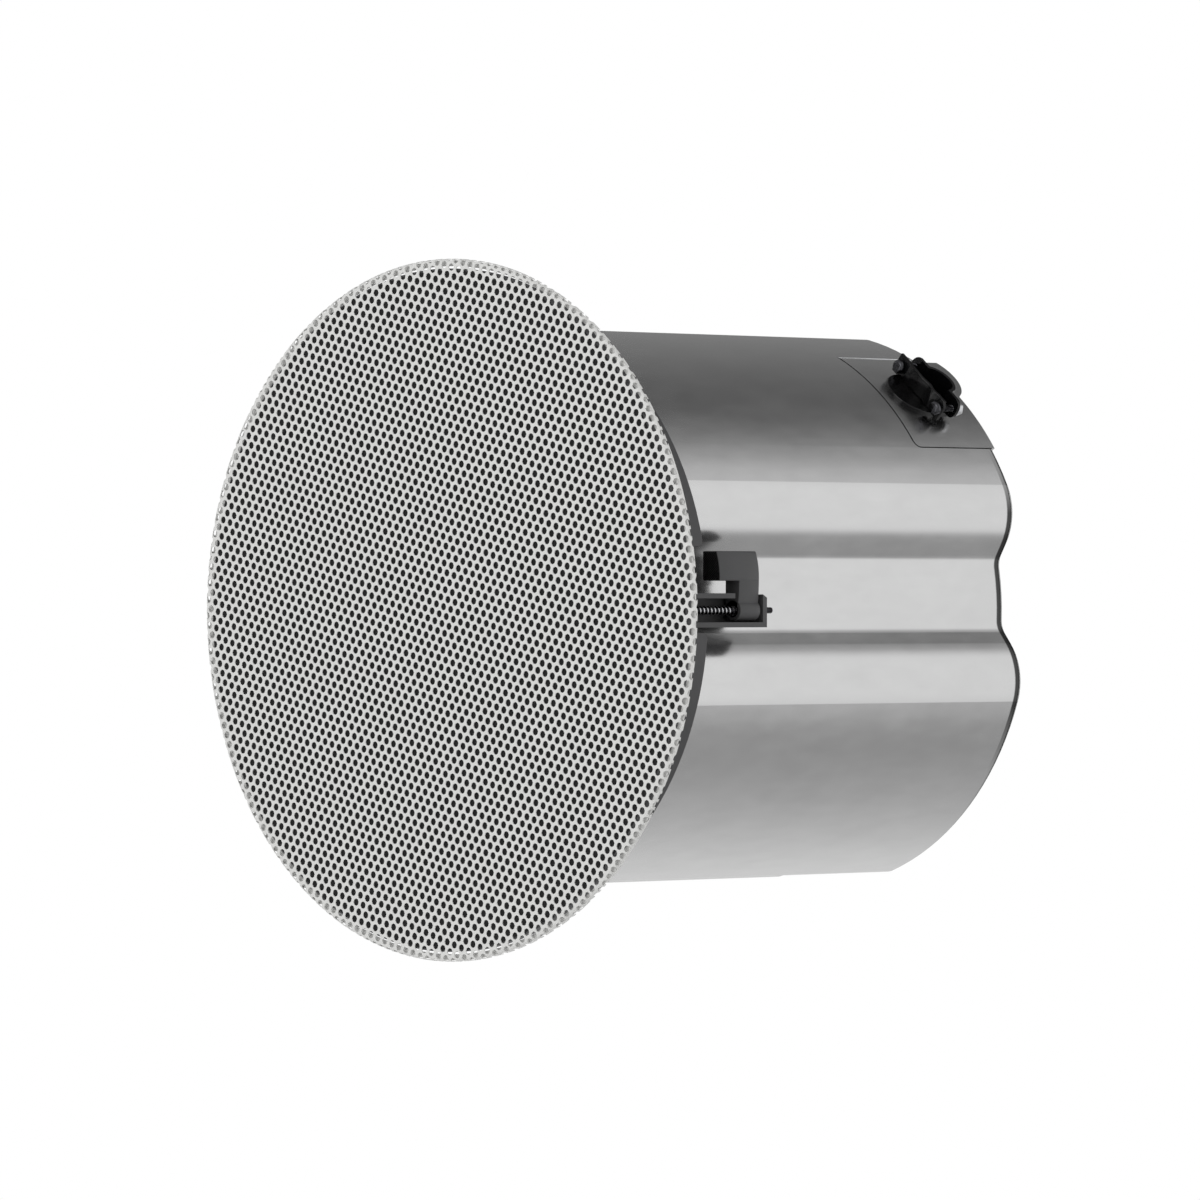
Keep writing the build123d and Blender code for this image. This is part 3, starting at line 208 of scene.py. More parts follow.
def noise(tree, size_mm, stretch=(1, 1, 1), detail=3.0, rough=0.5):
    """Noise whose blotches are about size_mm across, stretched by a factor along each axis."""
    place = add_node(tree, "ShaderNodeTexCoord")
    scale = tuple(1 / (size_mm * MM * s) for s in stretch)
    mapped = add_node(tree, "ShaderNodeMapping", {"Vector": place.outputs["Object"], "Scale": scale})
    spots = add_node(
        tree, "ShaderNodeTexNoise",
        {"Vector": mapped.outputs["Vector"], "Scale": 1.0, "Detail": detail, "Roughness": rough},
    )
    return spots.outputs["Fac"]


def vary(tree, shader, base, spots, amount):
    """Lets the base colour swing by an amount either way with the noise."""
    dark = tuple(max(c * (1 - amount), 0) for c in base)
    light = tuple(min(c * (1 + amount), 1) for c in base)
    ramp = add_node(tree, "ShaderNodeValToRGB", {"Fac": spots})
    ramp.color_ramp.elements[0].position, ramp.color_ramp.elements[1].position = 0.3, 0.7
    ramp.color_ramp.elements[0].color, ramp.color_ramp.elements[1].color = (*dark, 1), (*light, 1)
    tree.links.new(ramp.outputs["Color"], shader.inputs["Base Color"])
    return ramp


def roughen(tree, shader, spots, low, high):
    """Lets the roughness go from low to high with the noise."""
    span = add_node(
        tree, "ShaderNodeMapRange",
        {"Value": spots, "From Min": 0.3, "From Max": 0.7, "To Min": low, "To Max": high},
    )
    tree.links.new(span.outputs["Result"], shader.inputs["Roughness"])


def relief(tree, shader, height, depth_mm, strength=1.0):
    """Raises the surface by a depth where the height is 1."""
    bump = add_node(
        tree, "ShaderNodeBump", {"Height": height, "Distance": depth_mm * MM, "Strength": strength}
    )
    tree.links.new(bump.outputs["Normal"], shader.inputs["Normal"])


def powder_coat(base):
    """Polyester powder coat, baked on steel: an even satin with a faint orange peel."""
    material, tree, shader = start_material("powder_coated_steel", base, 0.0, 0.42, Specular_IOR_Level=0.45)
    vary(tree, shader, base, noise(tree, 30), 0.012)
    relief(tree, shader, noise(tree, 1.4, detail=1), 0.02)
    return material


def drawn_steel(base):
    """Cold-rolled steel drawn into a can and left bare: satin and faintly stained, with a dark reflection
    painted on its rear corner that reaches onto the rear face.
    """
    material, tree, shader = start_material("drawn_steel", base, 1.0, 0.24)
    clouds = noise(tree, 22, stretch=(1, 1, 1.6), detail=4, rough=0.55)
    wipes = noise(tree, 7, stretch=(1, 1, 2.5), detail=3, rough=0.5)
    blend = add_node(tree, "ShaderNodeMath", {0: clouds, 1: wipes}, operation="ADD")
    half = add_node(tree, "ShaderNodeMath", {0: blend.outputs[0], 1: 0.5}, operation="MULTIPLY")
    shades = vary(tree, shader, base, half.outputs[0], 0.06)
    roughen(tree, shader, half.outputs[0], 0.19, 0.26)
    # Painted dark reflection on the rear rim: the base colour falls to a tenth where the three ramps below
    # all reach one
    place = add_node(tree, "ShaderNodeTexCoord")
    axes = add_node(tree, "ShaderNodeSeparateXYZ", {0: place.outputs["Object"]})
    across = add_node(tree, "ShaderNodeMath", {0: axes.outputs["Y"]}, operation="ABSOLUTE")
    painted_rim_masks = []
    for value, low, high in (
        (axes.outputs["Z"], CAN_END - PAINTED_DARK_RIM_Z[0] * MM, CAN_END - PAINTED_DARK_RIM_Z[1] * MM),
        (axes.outputs["X"], PAINTED_DARK_RIM_X[0] * MM, PAINTED_DARK_RIM_X[1] * MM),
        (across.outputs[0], PAINTED_DARK_RIM_Y[0] * MM, PAINTED_DARK_RIM_Y[1] * MM),
    ):
        painted_rim_ramp = add_node(tree, "ShaderNodeMapRange", {"Value": value, "From Min": low, "From Max": high})
        painted_rim_masks.append(painted_rim_ramp.outputs["Result"])
    # corner and dark hold the share of the painted dark reflection
    corner = add_node(tree, "ShaderNodeMath", {0: painted_rim_masks[0], 1: painted_rim_masks[1]}, operation="MULTIPLY")
    dark = add_node(tree, "ShaderNodeMath", {0: corner.outputs[0], 1: painted_rim_masks[2]}, operation="MULTIPLY")
    painted_dark_rim = add_node(
        tree, "ShaderNodeMix",
        {"Factor": dark.outputs[0], "A": shades.outputs["Color"], "B": (*(c * 0.1 for c in base), 1)},
        data_type="RGBA",
    )
    tree.links.new(painted_dark_rim.outputs[2], shader.inputs["Base Color"])
    return material


def zinc_plate(base):
    """Bright zinc plate on steel: clean metal with a slight haze."""
    material, tree, shader = start_material("zinc_plated_steel", base, 1.0, 0.28)
    roughen(tree, shader, noise(tree, 4), 0.22, 0.36)
    vary(tree, shader, base, noise(tree, 9), 0.04)
    return material


def plated_screw(name, base):
    """Nickel or zinc on a screw: polished metal that glints where it mirrors a light."""
    material, tree, shader = start_material(name, base, 1.0, 0.16)
    roughen(tree, shader, noise(tree, 1.5), 0.12, 0.2)
    return material


def black_enamel(base):
    """Black stoving enamel on pressed steel: deep black with a soft gloss."""
    material, tree, shader = start_material("black_enamel", base, 0.0, 0.12, Specular_IOR_Level=0.28)
    roughen(tree, shader, noise(tree, 6), 0.08, 0.14)
    return material


def moulded_abs(name, base, roughness, grain_mm=0.5):
    """Injection moulded ABS: a matt skin with the fine texture of a spark-eroded mould."""
    material, tree, shader = start_material(name, base, 0.0, roughness, Specular_IOR_Level=0.35)
    vary(tree, shader, base, noise(tree, 12), 0.03)
    relief(tree, shader, noise(tree, grain_mm, detail=2), 0.02, 0.6)
    return material


def woven_cloth(name, base, thread_mm, relief_mm=0.1, sheen=0.2):
    """Plain weave: threads over and under each other, drawn as coarse as they need to show."""
    material, tree, shader = start_material(name, base, 0.0, 0.85, Sheen_Weight=sheen)
    place = add_node(tree, "ShaderNodeTexCoord")
    waves = []
    for direction in ("X", "Y"):
        waves.append(
            add_node(
                tree, "ShaderNodeTexWave",
                {"Vector": place.outputs["Object"], "Scale": 1 / (thread_mm * MM * 3.2), "Distortion": 0.3},
                wave_type="BANDS", bands_direction=direction,
            ).outputs["Fac"]
        )
    crossed = add_node(tree, "ShaderNodeMath", {0: waves[0], 1: waves[1]}, operation="MULTIPLY")
    vary(tree, shader, base, crossed.outputs[0], 0.25)
    relief(tree, shader, crossed.outputs[0], relief_mm)
    return material


def felt(name, base, fibre_mm, amount=0.2):
    """Matted fibre, such as felt, pulp or foam: no gloss and an uneven surface."""
    material, tree, shader = start_material(name, base, 0.0, 0.95)
    vary(tree, shader, base, noise(tree, fibre_mm * 4, detail=5, rough=0.7), amount)
    relief(tree, shader, noise(tree, fibre_mm, detail=4), fibre_mm * 0.4)
    return material


def rubber(name, base):
    """Butyl rubber: soft black with a faint bloom."""
    material, tree, shader = start_material(name, base, 0.0, 0.6, Specular_IOR_Level=0.3)
    vary(tree, shader, base, noise(tree, 7), 0.1)
    relief(tree, shader, noise(tree, 0.6), 0.02)
    return material


def ground_ferrite(base):
    """Sintered ferrite, ground on its faces: grey-black with a dull grain."""
    material, tree, shader = start_material("ground_ferrite", base, 0.0, 0.55)
    vary(tree, shader, base, noise(tree, 1.2, detail=4), 0.2)
    relief(tree, shader, noise(tree, 0.5, detail=3), 0.03)
    return material


def wound(name, base, metallic, wire_mm, axis="Z"):
    """Wire or tape wound in layers: fine parallel ridges."""
    material, tree, shader = start_material(name, base, metallic, 0.35, Coat_Weight=0.3)
    place = add_node(tree, "ShaderNodeTexCoord")
    turns = add_node(
        tree, "ShaderNodeTexWave", {"Vector": place.outputs["Object"], "Scale": 1 / (wire_mm * MM * 3.2)},
        wave_type="BANDS", bands_direction=axis,
    ).outputs["Fac"]
    vary(tree, shader, base, turns, 0.15)
    relief(tree, shader, turns, wire_mm * 0.25)
    return material


def board_laminate(base):
    """Glass-epoxy circuit board under solder mask: a glossy skin over a faint weave."""
    material, tree, shader = start_material("board_laminate", base, 0.0, 0.3, Coat_Weight=0.4)
    vary(tree, shader, base, noise(tree, 2.5), 0.12)
    relief(tree, shader, noise(tree, 0.8), 0.01)
    return material


def make_finishes():
    """All materials, by the record's slot names."""
    look = bpy.context.scene.speaker_finishes
    return {
        "grille_paint": powder_coat(look.grille_paint),
        "can_steel": drawn_steel(look.can_steel),
        "baffle_plastic": moulded_abs("moulded_abs", look.moulded_plastic, 0.5),
        "clamp_plastic": moulded_abs("moulded_nylon", look.moulded_plastic, 0.46, 0.7),
        "port_plastic": moulded_abs("moulded_black_abs", look.black_enamel, 0.45),
        "black_metal": black_enamel(look.black_enamel),
        "basket_steel": moulded_abs("painted_basket", look.black_enamel, 0.5, 1.2),
        "black_screw": plated_screw("black_nickel_steel", look.black_nickel),
        "dark_zinc": plated_screw("dark_zinc_steel", look.dark_zinc),
        "bright_zinc": zinc_plate(look.zinc_plate),
        "magnet_plate": moulded_abs("epoxy_coated_magnet", look.black_enamel, 0.4),
        "scrim_cloth": woven_cloth("scrim_cloth", look.scrim, 0.6, 0.05, 0.0),
        "spider_cloth": woven_cloth("dipped_cotton", look.spider, 0.8),
        "dome_silk": woven_cloth("coated_silk", look.scrim, 0.4),
        "liner_felt": felt("felted_fibre", look.felt, 1.0),
        "cone_pulp": felt("paper_pulp", look.cone, 0.5, 0.15),
        "former_paper": felt("kraft_paper", look.kraft, 0.3, 0.1),
        "gasket_foam": rubber("foam_rubber", look.rubber),
        "surround_rubber": rubber("butyl_rubber", look.rubber),
        "ferrite": ground_ferrite(look.ferrite),
        "copper_wire": wound("enamelled_copper", look.copper, 1.0, 0.6),
        "winding_tape": wound("polyester_tape", look.tape, 0.0, 2.0),
        "board_laminate": board_laminate(look.laminate),
        "terminal_plastic": moulded_abs("moulded_terminal_nylon", look.nylon, 0.5),
        "dial_print": moulded_abs("printed_dial", look.grille_paint, 0.4),
        "core_steel": wound("laminated_steel", look.core, 0.8, 0.8, "Y"),
    }


FINISHES = {}


def finish(slot_name):
    """The material of a slot, made with all the others when the first is asked for."""
    if not FINISHES:
        FINISHES.update(make_finishes())
    return FINISHES[slot_name]


# Mesh helpers


def add_piece(name, bm, slot_name, body, stands_for=(), sharp=32.0, look=None):
    """Turns a finished bmesh into a piece at the origin that rides on a body."""
    for face in bm.faces:
        face.smooth = True
    for edge in bm.edges:
        shared = len(edge.link_faces) == 2
        edge.smooth = shared and edge.calc_face_angle(0) < radians(sharp)
    mesh = bpy.data.meshes.new(name)
    bm.to_mesh(mesh)
    bm.free()
    mesh.materials.append(finish(look or slot_name))
    piece = bpy.data.objects.new(name, mesh)
    bpy.context.scene.collection.objects.link(piece)
    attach(piece, body)
    if stands_for:
        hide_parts(*stands_for)
    return piece


def verts_of(geometry):
    """The vertices in what a bmesh operator gives back."""
    return [g for g in geometry if isinstance(g, bmesh.types.BMVert)]


def ring(inner, outer, low, high, steps):
    """A ring of square section turned about Z, in millimetres."""
    bm = bmesh.new()
    corners = ((inner, low), (outer, low), (outer, high), (inner, high))
    verts = [bm.verts.new((r * MM, 0, z * MM)) for r, z in corners]
    for first, second in zip(verts, verts[1:] + verts[:1]):
        bm.edges.new((first, second))
    bmesh.ops.spin(
        bm, geom=bm.verts[:] + bm.edges[:], cent=(0, 0, 0), axis=(0, 0, 1), dvec=(0, 0, 0),
        angle=2 * pi, steps=steps, use_merge=True, use_duplicate=False,
    )
    bmesh.ops.remove_doubles(bm, verts=bm.verts[:], dist=1e-6)
    bmesh.ops.recalc_face_normals(bm, faces=bm.faces[:])
    return bm


def block(low, high):
    """A box between two corners in millimetres."""
    bm = bmesh.new()
    size = Vector(high) - Vector(low)
    middle = (Vector(high) + Vector(low)) / 2 * MM
    matrix = Matrix.Translation(middle) @ Matrix.Diagonal((*(size * MM), 1))
    bmesh.ops.create_cube(bm, size=1, matrix=matrix)
    return bm


def rod(radius, low, high, segments=32):
    """An upright cylinder on the local Z axis, in millimetres."""
    bm = bmesh.new()
    bmesh.ops.create_cone(
        bm, cap_ends=True, segments=segments, radius1=radius * MM, radius2=radius * MM,
        depth=(high - low) * MM, matrix=Matrix.Translation((0, 0, (low + high) / 2 * MM)),
    )
    return bm


def round_edges(bm, width, segments=2, keep=None, angle=30.0):
    """Rounds the edges sharper than an angle, or only those that keep() picks."""
    edges = [
        e for e in bm.edges
        if len(e.link_faces) == 2 and e.calc_face_angle(0) > radians(angle) and (keep is None or keep(e))
    ]
    bmesh.ops.bevel(
        bm, geom=edges, offset=width * MM, offset_type="OFFSET", segments=segments, profile=0.5,
        affect="EDGES", clamp_overlap=True, material=-1,
    )
    return bm


def moved(bm, matrix):
    """The same bmesh, carried by a matrix."""
    bmesh.ops.transform(bm, matrix=matrix, verts=bm.verts[:])
    return bm


def joined(*parts):
    """One bmesh from several."""
    whole = parts[0]
    for part in parts[1:]:
        scrap = bpy.data.meshes.new("scrap")
        part.to_mesh(scrap)
        part.free()
        whole.from_mesh(scrap)
        bpy.data.meshes.remove(scrap)
    return whole


def clamp_place(angle):
    """A clamp's own frame: Z up its screw, X away from the speaker's axis, the arm along -Y."""
    return Matrix.Rotation(radians(angle), 4, "Z") @ Matrix.Translation((CLAMP_AXIS_R * MM, 0, 0))


def entry_place():
    """The cable entry's own frame: Z out of the can, -X up along it."""
    return (
        Matrix.Translation((0, 0, ENTRY_Z * MM))
        @ Matrix.Rotation(radians(ENTRY_ANGLE), 4, "Z")
        @ Matrix.Rotation(radians(90), 4, "Y")
    )


# Grille


def punched_disc(sizes, radius, margin):
    """A flat disc with staggered rows of round holes, up to a margin from its edge."""
    bm = bmesh.new()
    pitch = sizes.hole_pitch
    reach = int(radius / pitch) + 2
    bmesh.ops.create_circle(bm, segments=sizes.hole_sides, radius=sizes.hole_radius)
    corner = (-reach * pitch, -reach * pitch, 0)
    bmesh.ops.translate(bm, verts=bm.verts[:], vec=corner)
    last = bm.verts[:] + bm.edges[:]
    for _ in range(2 * reach):
        last = bmesh.ops.duplicate(bm, geom=last)["geom"]
        bmesh.ops.translate(bm, verts=verts_of(last), vec=(pitch, 0, 0))
    last = bm.verts[:] + bm.edges[:]
    for row in range(2 * reach):
        last = bmesh.ops.duplicate(bm, geom=last)["geom"]
        shift = pitch / 2 if row % 2 else -pitch / 2
        bmesh.ops.translate(bm, verts=verts_of(last), vec=(shift, pitch, 0))
    bmesh.ops.rotate(bm, verts=bm.verts[:], cent=(0, 0, 0), matrix=Matrix.Rotation(sizes.hole_turn, 3, "Z"))
    beyond = radius + pitch * 1.1
    outside = {v for v in bm.verts if v.co.xy.length > beyond - margin}
    for _ in range(sizes.hole_sides // 2):
        outside |= {edge.other_vert(v) for v in outside for edge in v.link_edges}
    bmesh.ops.delete(bm, geom=list(outside), context="VERTS")
    bmesh.ops.create_circle(bm, segments=288, radius=beyond)
    bmesh.ops.triangle_fill(bm, use_beauty=True, use_dissolve=False, edges=bm.edges[:])
    for vert in bm.verts:
        if vert.co.xy.length > radius:
            vert.co.xy *= radius / vert.co.xy.length
    cut_off = [f for f in bm.faces if all(v.co.xy.length > radius - 1e-6 for v in f.verts)]
    bmesh.ops.delete(bm, geom=cut_off, context="FACES")
    bmesh.ops.dissolve_degenerate(bm, dist=1e-6, edges=bm.edges[:])
    return bm


def roll_edge(bm, start, bend, thickness):
    """Gives the disc its thickness and rolls its rim back over a bend, as a press does."""
    thickened = bmesh.ops.extrude_face_region(bm, geom=bm.faces[:])
    back = set(verts_of(thickened["geom"]))
    arc = bend * pi / 2
    for vert in bm.verts:
        r = vert.co.xy.length
        inward = thickness if vert in back else 0.0
        along = r - start
        if along <= 0:
            vert.co.z = inward
            continue
        angle = min(along, arc) / bend
        rolled = start + (bend - inward) * sin(angle)
        vert.co.x *= rolled / r
        vert.co.y *= rolled / r
        vert.co.z = bend - (bend - inward) * cos(angle) + max(along - arc, 0.0)


class SPEAKER_OT_grille(bpy.types.Operator):
    """Punches the sheet, rolls its edge and turns its lip in"""

    bl_idname = "speaker.grille"
    bl_label = "Perforated grille"

    def execute(self, context):
        sizes = context.scene.speaker_sizes
        bend, edge = sizes.grille_roll, sizes.grille_radius
        start = edge - bend
        arc = bend * pi / 2
        skirt = sizes.grille_depth - bend
        bm = punched_disc(sizes, start + arc + skirt, 0.25 * MM)
        if not bm.faces:
            raise RuntimeError("the perforated sheet has no faces")
        rim = [e for e in bm.edges if all(v.co.xy.length > start - 0.3 * MM for v in e.verts)]
        coarse = [e for e in rim if e.calc_length() > 0.9 * MM]
        bmesh.ops.subdivide_edges(bm, edges=coarse, cuts=2, use_grid_fill=False)
        bmesh.ops.triangulate(bm, faces=[f for f in bm.faces if len(f.verts) > 4])
        roll_edge(bm, start, bend, sizes.grille_sheet)
        bmesh.ops.recalc_face_normals(bm, faces=bm.faces[:])
        add_piece("perforated_grille", bm, "grille_paint", "grille", ["grille"], 40)
        low, high = sizes.grille_depth / MM - LIP_SHEET, sizes.grille_depth / MM
        inner, outer = edge / MM - LIP_SHEET - LIP_REACH, edge / MM - LIP_SHEET - LIP_GAP
        lip = ring(inner, outer, low, high, 192)
        round_edges(lip, 0.2, 2)
        add_piece("grille_lip", lip, "grille_paint", "grille")
        veil = ring(VEIL_INNER, VEIL_OUTER, VEIL_LOW, VEIL_HIGH, 96)
        add_piece("scrim_border", veil, "scrim_cloth", "grille")
        return {"FINISHED"}


# Clamps


def spin_up(bm, pitch, low, high, steps):
    """Spins a thread's profile up its helix, in millimetres, in whole turns."""
    turns = int((high - low) / pitch) - 1
    bmesh.ops.spin(
        bm, geom=bm.verts[:] + bm.edges[:], cent=(0, 0, 0), axis=(0, 0, 1), dvec=(0, 0, pitch * MM / steps),
        angle=2 * pi * turns, steps=steps * turns, use_merge=False, use_duplicate=False,
    )


def threaded_shank(radius, pitch, low, high, steps=THREAD_STEPS):
    """A screw thread: a tooth spun along a helix, with its doubles merged into one skin."""
    bm = bmesh.new()
    depth = 0.42 * radius
    points = [(radius - depth, 0), (radius, 0.42 * pitch), (radius, 0.55 * pitch), (radius - depth, pitch)]
    verts = [bm.verts.new((r * MM, 0, (low + z) * MM)) for r, z in points]
    for first, second in zip(verts, verts[1:]):
        bm.edges.new((first, second))
    spin_up(bm, pitch, low, high, steps)
    bmesh.ops.remove_doubles(bm, verts=bm.verts[:], dist=1e-6)
    bmesh.ops.recalc_face_normals(bm, faces=bm.faces[:])
    return bm


def painted_glint_crests(radius, pitch):
    """Thin bright strips on the crests of a clamp screw's thread: painted glints, where light would catch the
    dark thread.
    """
    bm = bmesh.new()
    proud = (radius + 0.01) * MM
    verts = [bm.verts.new((proud, 0, (THREAD_LOW + share * pitch) * MM)) for share in (0.36, 0.6)]
    bm.edges.new(verts)
    spin_up(bm, pitch, THREAD_LOW, THREAD_HIGH, THREAD_STEPS)
    bmesh.ops.solidify(bm, geom=bm.faces[:], thickness=0.03 * MM)
    bmesh.ops.recalc_face_normals(bm, faces=bm.faces[:])
    return bm


def domed(bm, width, segments, below):
    """Rounds the edges of an end that faces down, which lie below a height in millimetres."""
    return round_edges(bm, width, segments, lambda e: all(v.co.z < below * MM for v in e.verts))


def clamp_screw(radius, pitch):
    """Threaded shank, core, plain head and rounded tip of one screw, in the clamp's frame."""
    shank = threaded_shank(radius, pitch, THREAD_LOW, THREAD_HIGH)
    core = rod(radius * 0.6, 14.0, SCREW_END - 3.0, 20)
    head_low, head_high = 12.6, 15.0
    head = domed(rod(3.6, head_low, head_high, 40), (head_high - head_low) * 0.45, 3, head_low + 0.1)
    tip = rod(1.35, SCREW_END - 5.4, SCREW_END, 24)
    round_edges(tip, 0.55, 3, lambda e: all(v.co.z > (SCREW_END - 0.4) * MM for v in e.verts))
    return joined(shank, core, head, tip)


def arm_fall(y):
    """How far the arm's outer face falls off from its crest, towards pad or barrel."""
    off = y / MM - ARM_CREST
    return (ARM_FALL_PAD if off < 0 else ARM_FALL_BARREL) * off * off


def knurled_face(pitch, low, high, z):
    """Diamonds in relief that face down: a turned grid, trimmed to the pad and poked."""
    bm = bmesh.new()
    width, depth = (high[0] - low[0]) * MM, (high[1] - low[1]) * MM
    count = int((width + depth) / pitch) + 2
    bmesh.ops.create_grid(bm, x_segments=count, y_segments=count, size=count * pitch / 2 * SIDE_OVER_DIAGONAL)
    middle = Vector(((low[0] + high[0]) / 2 * MM, (low[1] + high[1]) / 2 * MM, z * MM))
    squash = Matrix.Diagonal((1.0, KNURL_SQUASH, 1, 1))
    moved(bm, Matrix.Translation(middle) @ squash @ Matrix.Rotation(radians(45), 4, "Z"))
    for point, way in (
        ((low[0], 0), (-1, 0)), ((high[0], 0), (1, 0)), ((0, low[1]), (0, -1)), ((0, high[1]), (0, 1)),
    ):
        bmesh.ops.bisect_plane(
            bm, geom=bm.verts[:] + bm.edges[:] + bm.faces[:], dist=1e-7,
            plane_co=(point[0] * MM, point[1] * MM, 0), plane_no=(*way, 0), clear_outer=True,
        )
    bmesh.ops.recalc_face_normals(bm, faces=bm.faces[:])
    if bm.faces[:][0].normal.z > 0:
        bmesh.ops.reverse_faces(bm, faces=bm.faces[:])
    whole = [f for f in bm.faces if f.calc_area() > 0.3 * pitch * pitch]
    bmesh.ops.poke(bm, faces=whole, offset=KNURL_DEPTH * MM)
    span = high[0] - low[0]
    for vert in bm.verts:
        sag = arm_fall(vert.co.y)
        vert.co.x = low[0] * MM + (vert.co.x - low[0] * MM) * (span - sag) / span
    return bm


def bowed_block(low, high, cuts):
    """A rounded block whose face away from the speaker's axis bows, fullest at the arm's crest."""
    bm = block(low, high)
    lengthwise = [e for e in bm.edges if abs(e.verts[0].co.y - e.verts[1].co.y) > 5 * MM]
    bmesh.ops.subdivide_edges(bm, edges=lengthwise, cuts=cuts)
    for vert in bm.verts:
        if vert.co.x > (high[0] - 0.8) * MM:
            vert.co.x += (0.1 - arm_fall(vert.co.y)) * MM
    return round_edges(bm, 0.45, 2)


def clamp_arm():
    """Barrel, leg and pad of one arm, in the clamp's frame."""
    pad = bowed_block((-6.1, -24.7, PAD_LOW + 0.35), (ARM_OUTER, -12.3, ARM_HIGH), 7)
    leg = bowed_block((-4.4, -12.7, ARM_LOW), (ARM_OUTER, -0.5, ARM_HIGH), 5)
    barrel = round_edges(ring(1.9, 4.5, ARM_LOW, ARM_HIGH, 40), 0.35, 2)
    return joined(pad, leg, barrel)


class SPEAKER_OT_clamps(bpy.types.Operator):
    """Makes the four swing clamps: arm, knurled pad, screw and the bright crests of its thread"""

    bl_idname = "speaker.clamps"
    bl_label = "Swing clamps"

    def execute(self, context):
        sizes = context.scene.speaker_sizes
        radius, pitch = sizes.screw_radius / MM, sizes.screw_pitch / MM
        for number, angle in enumerate(CLAMP_ANGLES, 1):
            place = clamp_place(angle)
            arm_body, screw_body = f"clamp_arm_{number}", f"clamp_screw_{number}"
            arm = moved(clamp_arm(), place)
            add_piece(f"swing_arm_{number}", arm, "clamp_plastic", arm_body, [arm_body])
            # The knurled face is black: its diamonds are real relief, and the black paints the shade that the
            # pad's front face lies in
            knurl = knurled_face(sizes.knurl_pitch, KNURL_LOW, KNURL_HIGH, PAD_LOW + KNURL_DEPTH)
            moved(knurl, place)
            add_piece(f"knurled_pad_in_painted_shade_{number}", knurl, "port_plastic", arm_body, sharp=20)
            screw = moved(clamp_screw(radius, pitch), place)
            add_piece(f"machine_screw_{number}", screw, "black_screw", screw_body, [screw_body])
            # Bright strips on the thread's crests paint the glints of light on the dark screw
            glint_strips = moved(painted_glint_crests(radius, pitch), place)
            add_piece(f"painted_glint_crests_{number}", glint_strips, "bright_zinc", screw_body)
        return {"FINISHED"}


# Cable entry


def sheet_jaw(front, back, low_of, high_of):
    """A jaw of thick sheet between two lines across the cable, its edges as functions of Y."""
    bm = bmesh.new()
    verts = [bm.verts.new((x * MM, y * MM, 0)) for x, y in front]
    for first, second in zip(verts, verts[1:]):
        bm.edges.new((first, second))
    across = bmesh.ops.extrude_edge_only(bm, edges=bm.edges[:])
    for vert in verts_of(across["geom"]):
        nearest = min(range(len(front)), key=lambda k: (Vector(front[k]) * MM - vert.co.xy).length)
        vert.co.x, vert.co.y = back[nearest][0] * MM, back[nearest][1] * MM
    raised = bmesh.ops.extrude_face_region(bm, geom=bm.faces[:])
    top = set(verts_of(raised["geom"]))
    for vert in bm.verts:
        edge_of = high_of if vert in top else low_of
        vert.co.z = edge_of(vert.co.y / MM) * MM
    bmesh.ops.recalc_face_normals(bm, faces=bm.faces[:])
    return bm


def rear_jaw():
    """The rear jaw: an ear, a deep round saddle and an ear, with round ends."""
    ear_front = -0.9
    ends = [JAW_HALF - EAR_ROUND * (1 - sin(radians(a))) for a in (90, 75, 60, 45, 30, 0)]
    lines = []
    for radius, ear in ((ENTRY_BORE_R, ear_front), (ENTRY_BORE_R + JAW_SHEET, ear_front - JAW_SHEET)):
        begin = atan2(sqrt(radius**2 - ear**2), ear)
        angles = [begin + (2 * pi - 2 * begin) * k / 24 for k in range(25)]
        saddle = [(radius * cos(angle), radius * sin(angle)) for angle in angles]
        lines.append([(ear, y) for y in ends] + saddle + [(ear, -y) for y in reversed(ends)])

    def rounding(y, depth):
        over = max(abs(y) - (JAW_HALF - EAR_ROUND), 0) / EAR_ROUND
        return depth * (1 - sqrt(max(1 - over * over, 0)))

    def low_of(y):
        foot = FLANGE_TOP - 0.9 if abs(y) > 13.0 else FLANGE_TOP - 0.3
        return foot + rounding(y, 3.0)

    return sheet_jaw(*lines, low_of, lambda y: JAW_TOP - rounding(y, 4.6))


def front_strap():
    """The loose front strap: two flat ears and a lightly waved middle with a crease beside the upper ear."""
    corner = 1.7
    wave = (
        (-JAW_HALF, 0.0), (-13.0, 0.0), (-12.9, 0.0), (-9.7, 0.0), (-9.4, 0.55), (-6.0, 0.5),
        (-1.7, 0.65), (1.5, 0.2), (4.2, -0.35), (6.2, 0.35), (8.0, 0.65), (9.6, 0.35), (10.9, 0.0),
        (12.9, 0.0), (13.0, 0.0), (JAW_HALF - corner, 0.0), (JAW_HALF, 0.0),
    )
    front = [(STRAP_FRONT + rise, y) for y, rise in wave]
    back = [(STRAP_FRONT - JAW_SHEET + rise, y) for y, rise in wave]

    def high_of(y):
        return JAW_TOP - max(y - (JAW_HALF - corner), 0) * 1.5

    return sheet_jaw(front, back, lambda y: FLANGE_TOP + (-0.85 if abs(y) > 12.95 else 0.1), high_of)


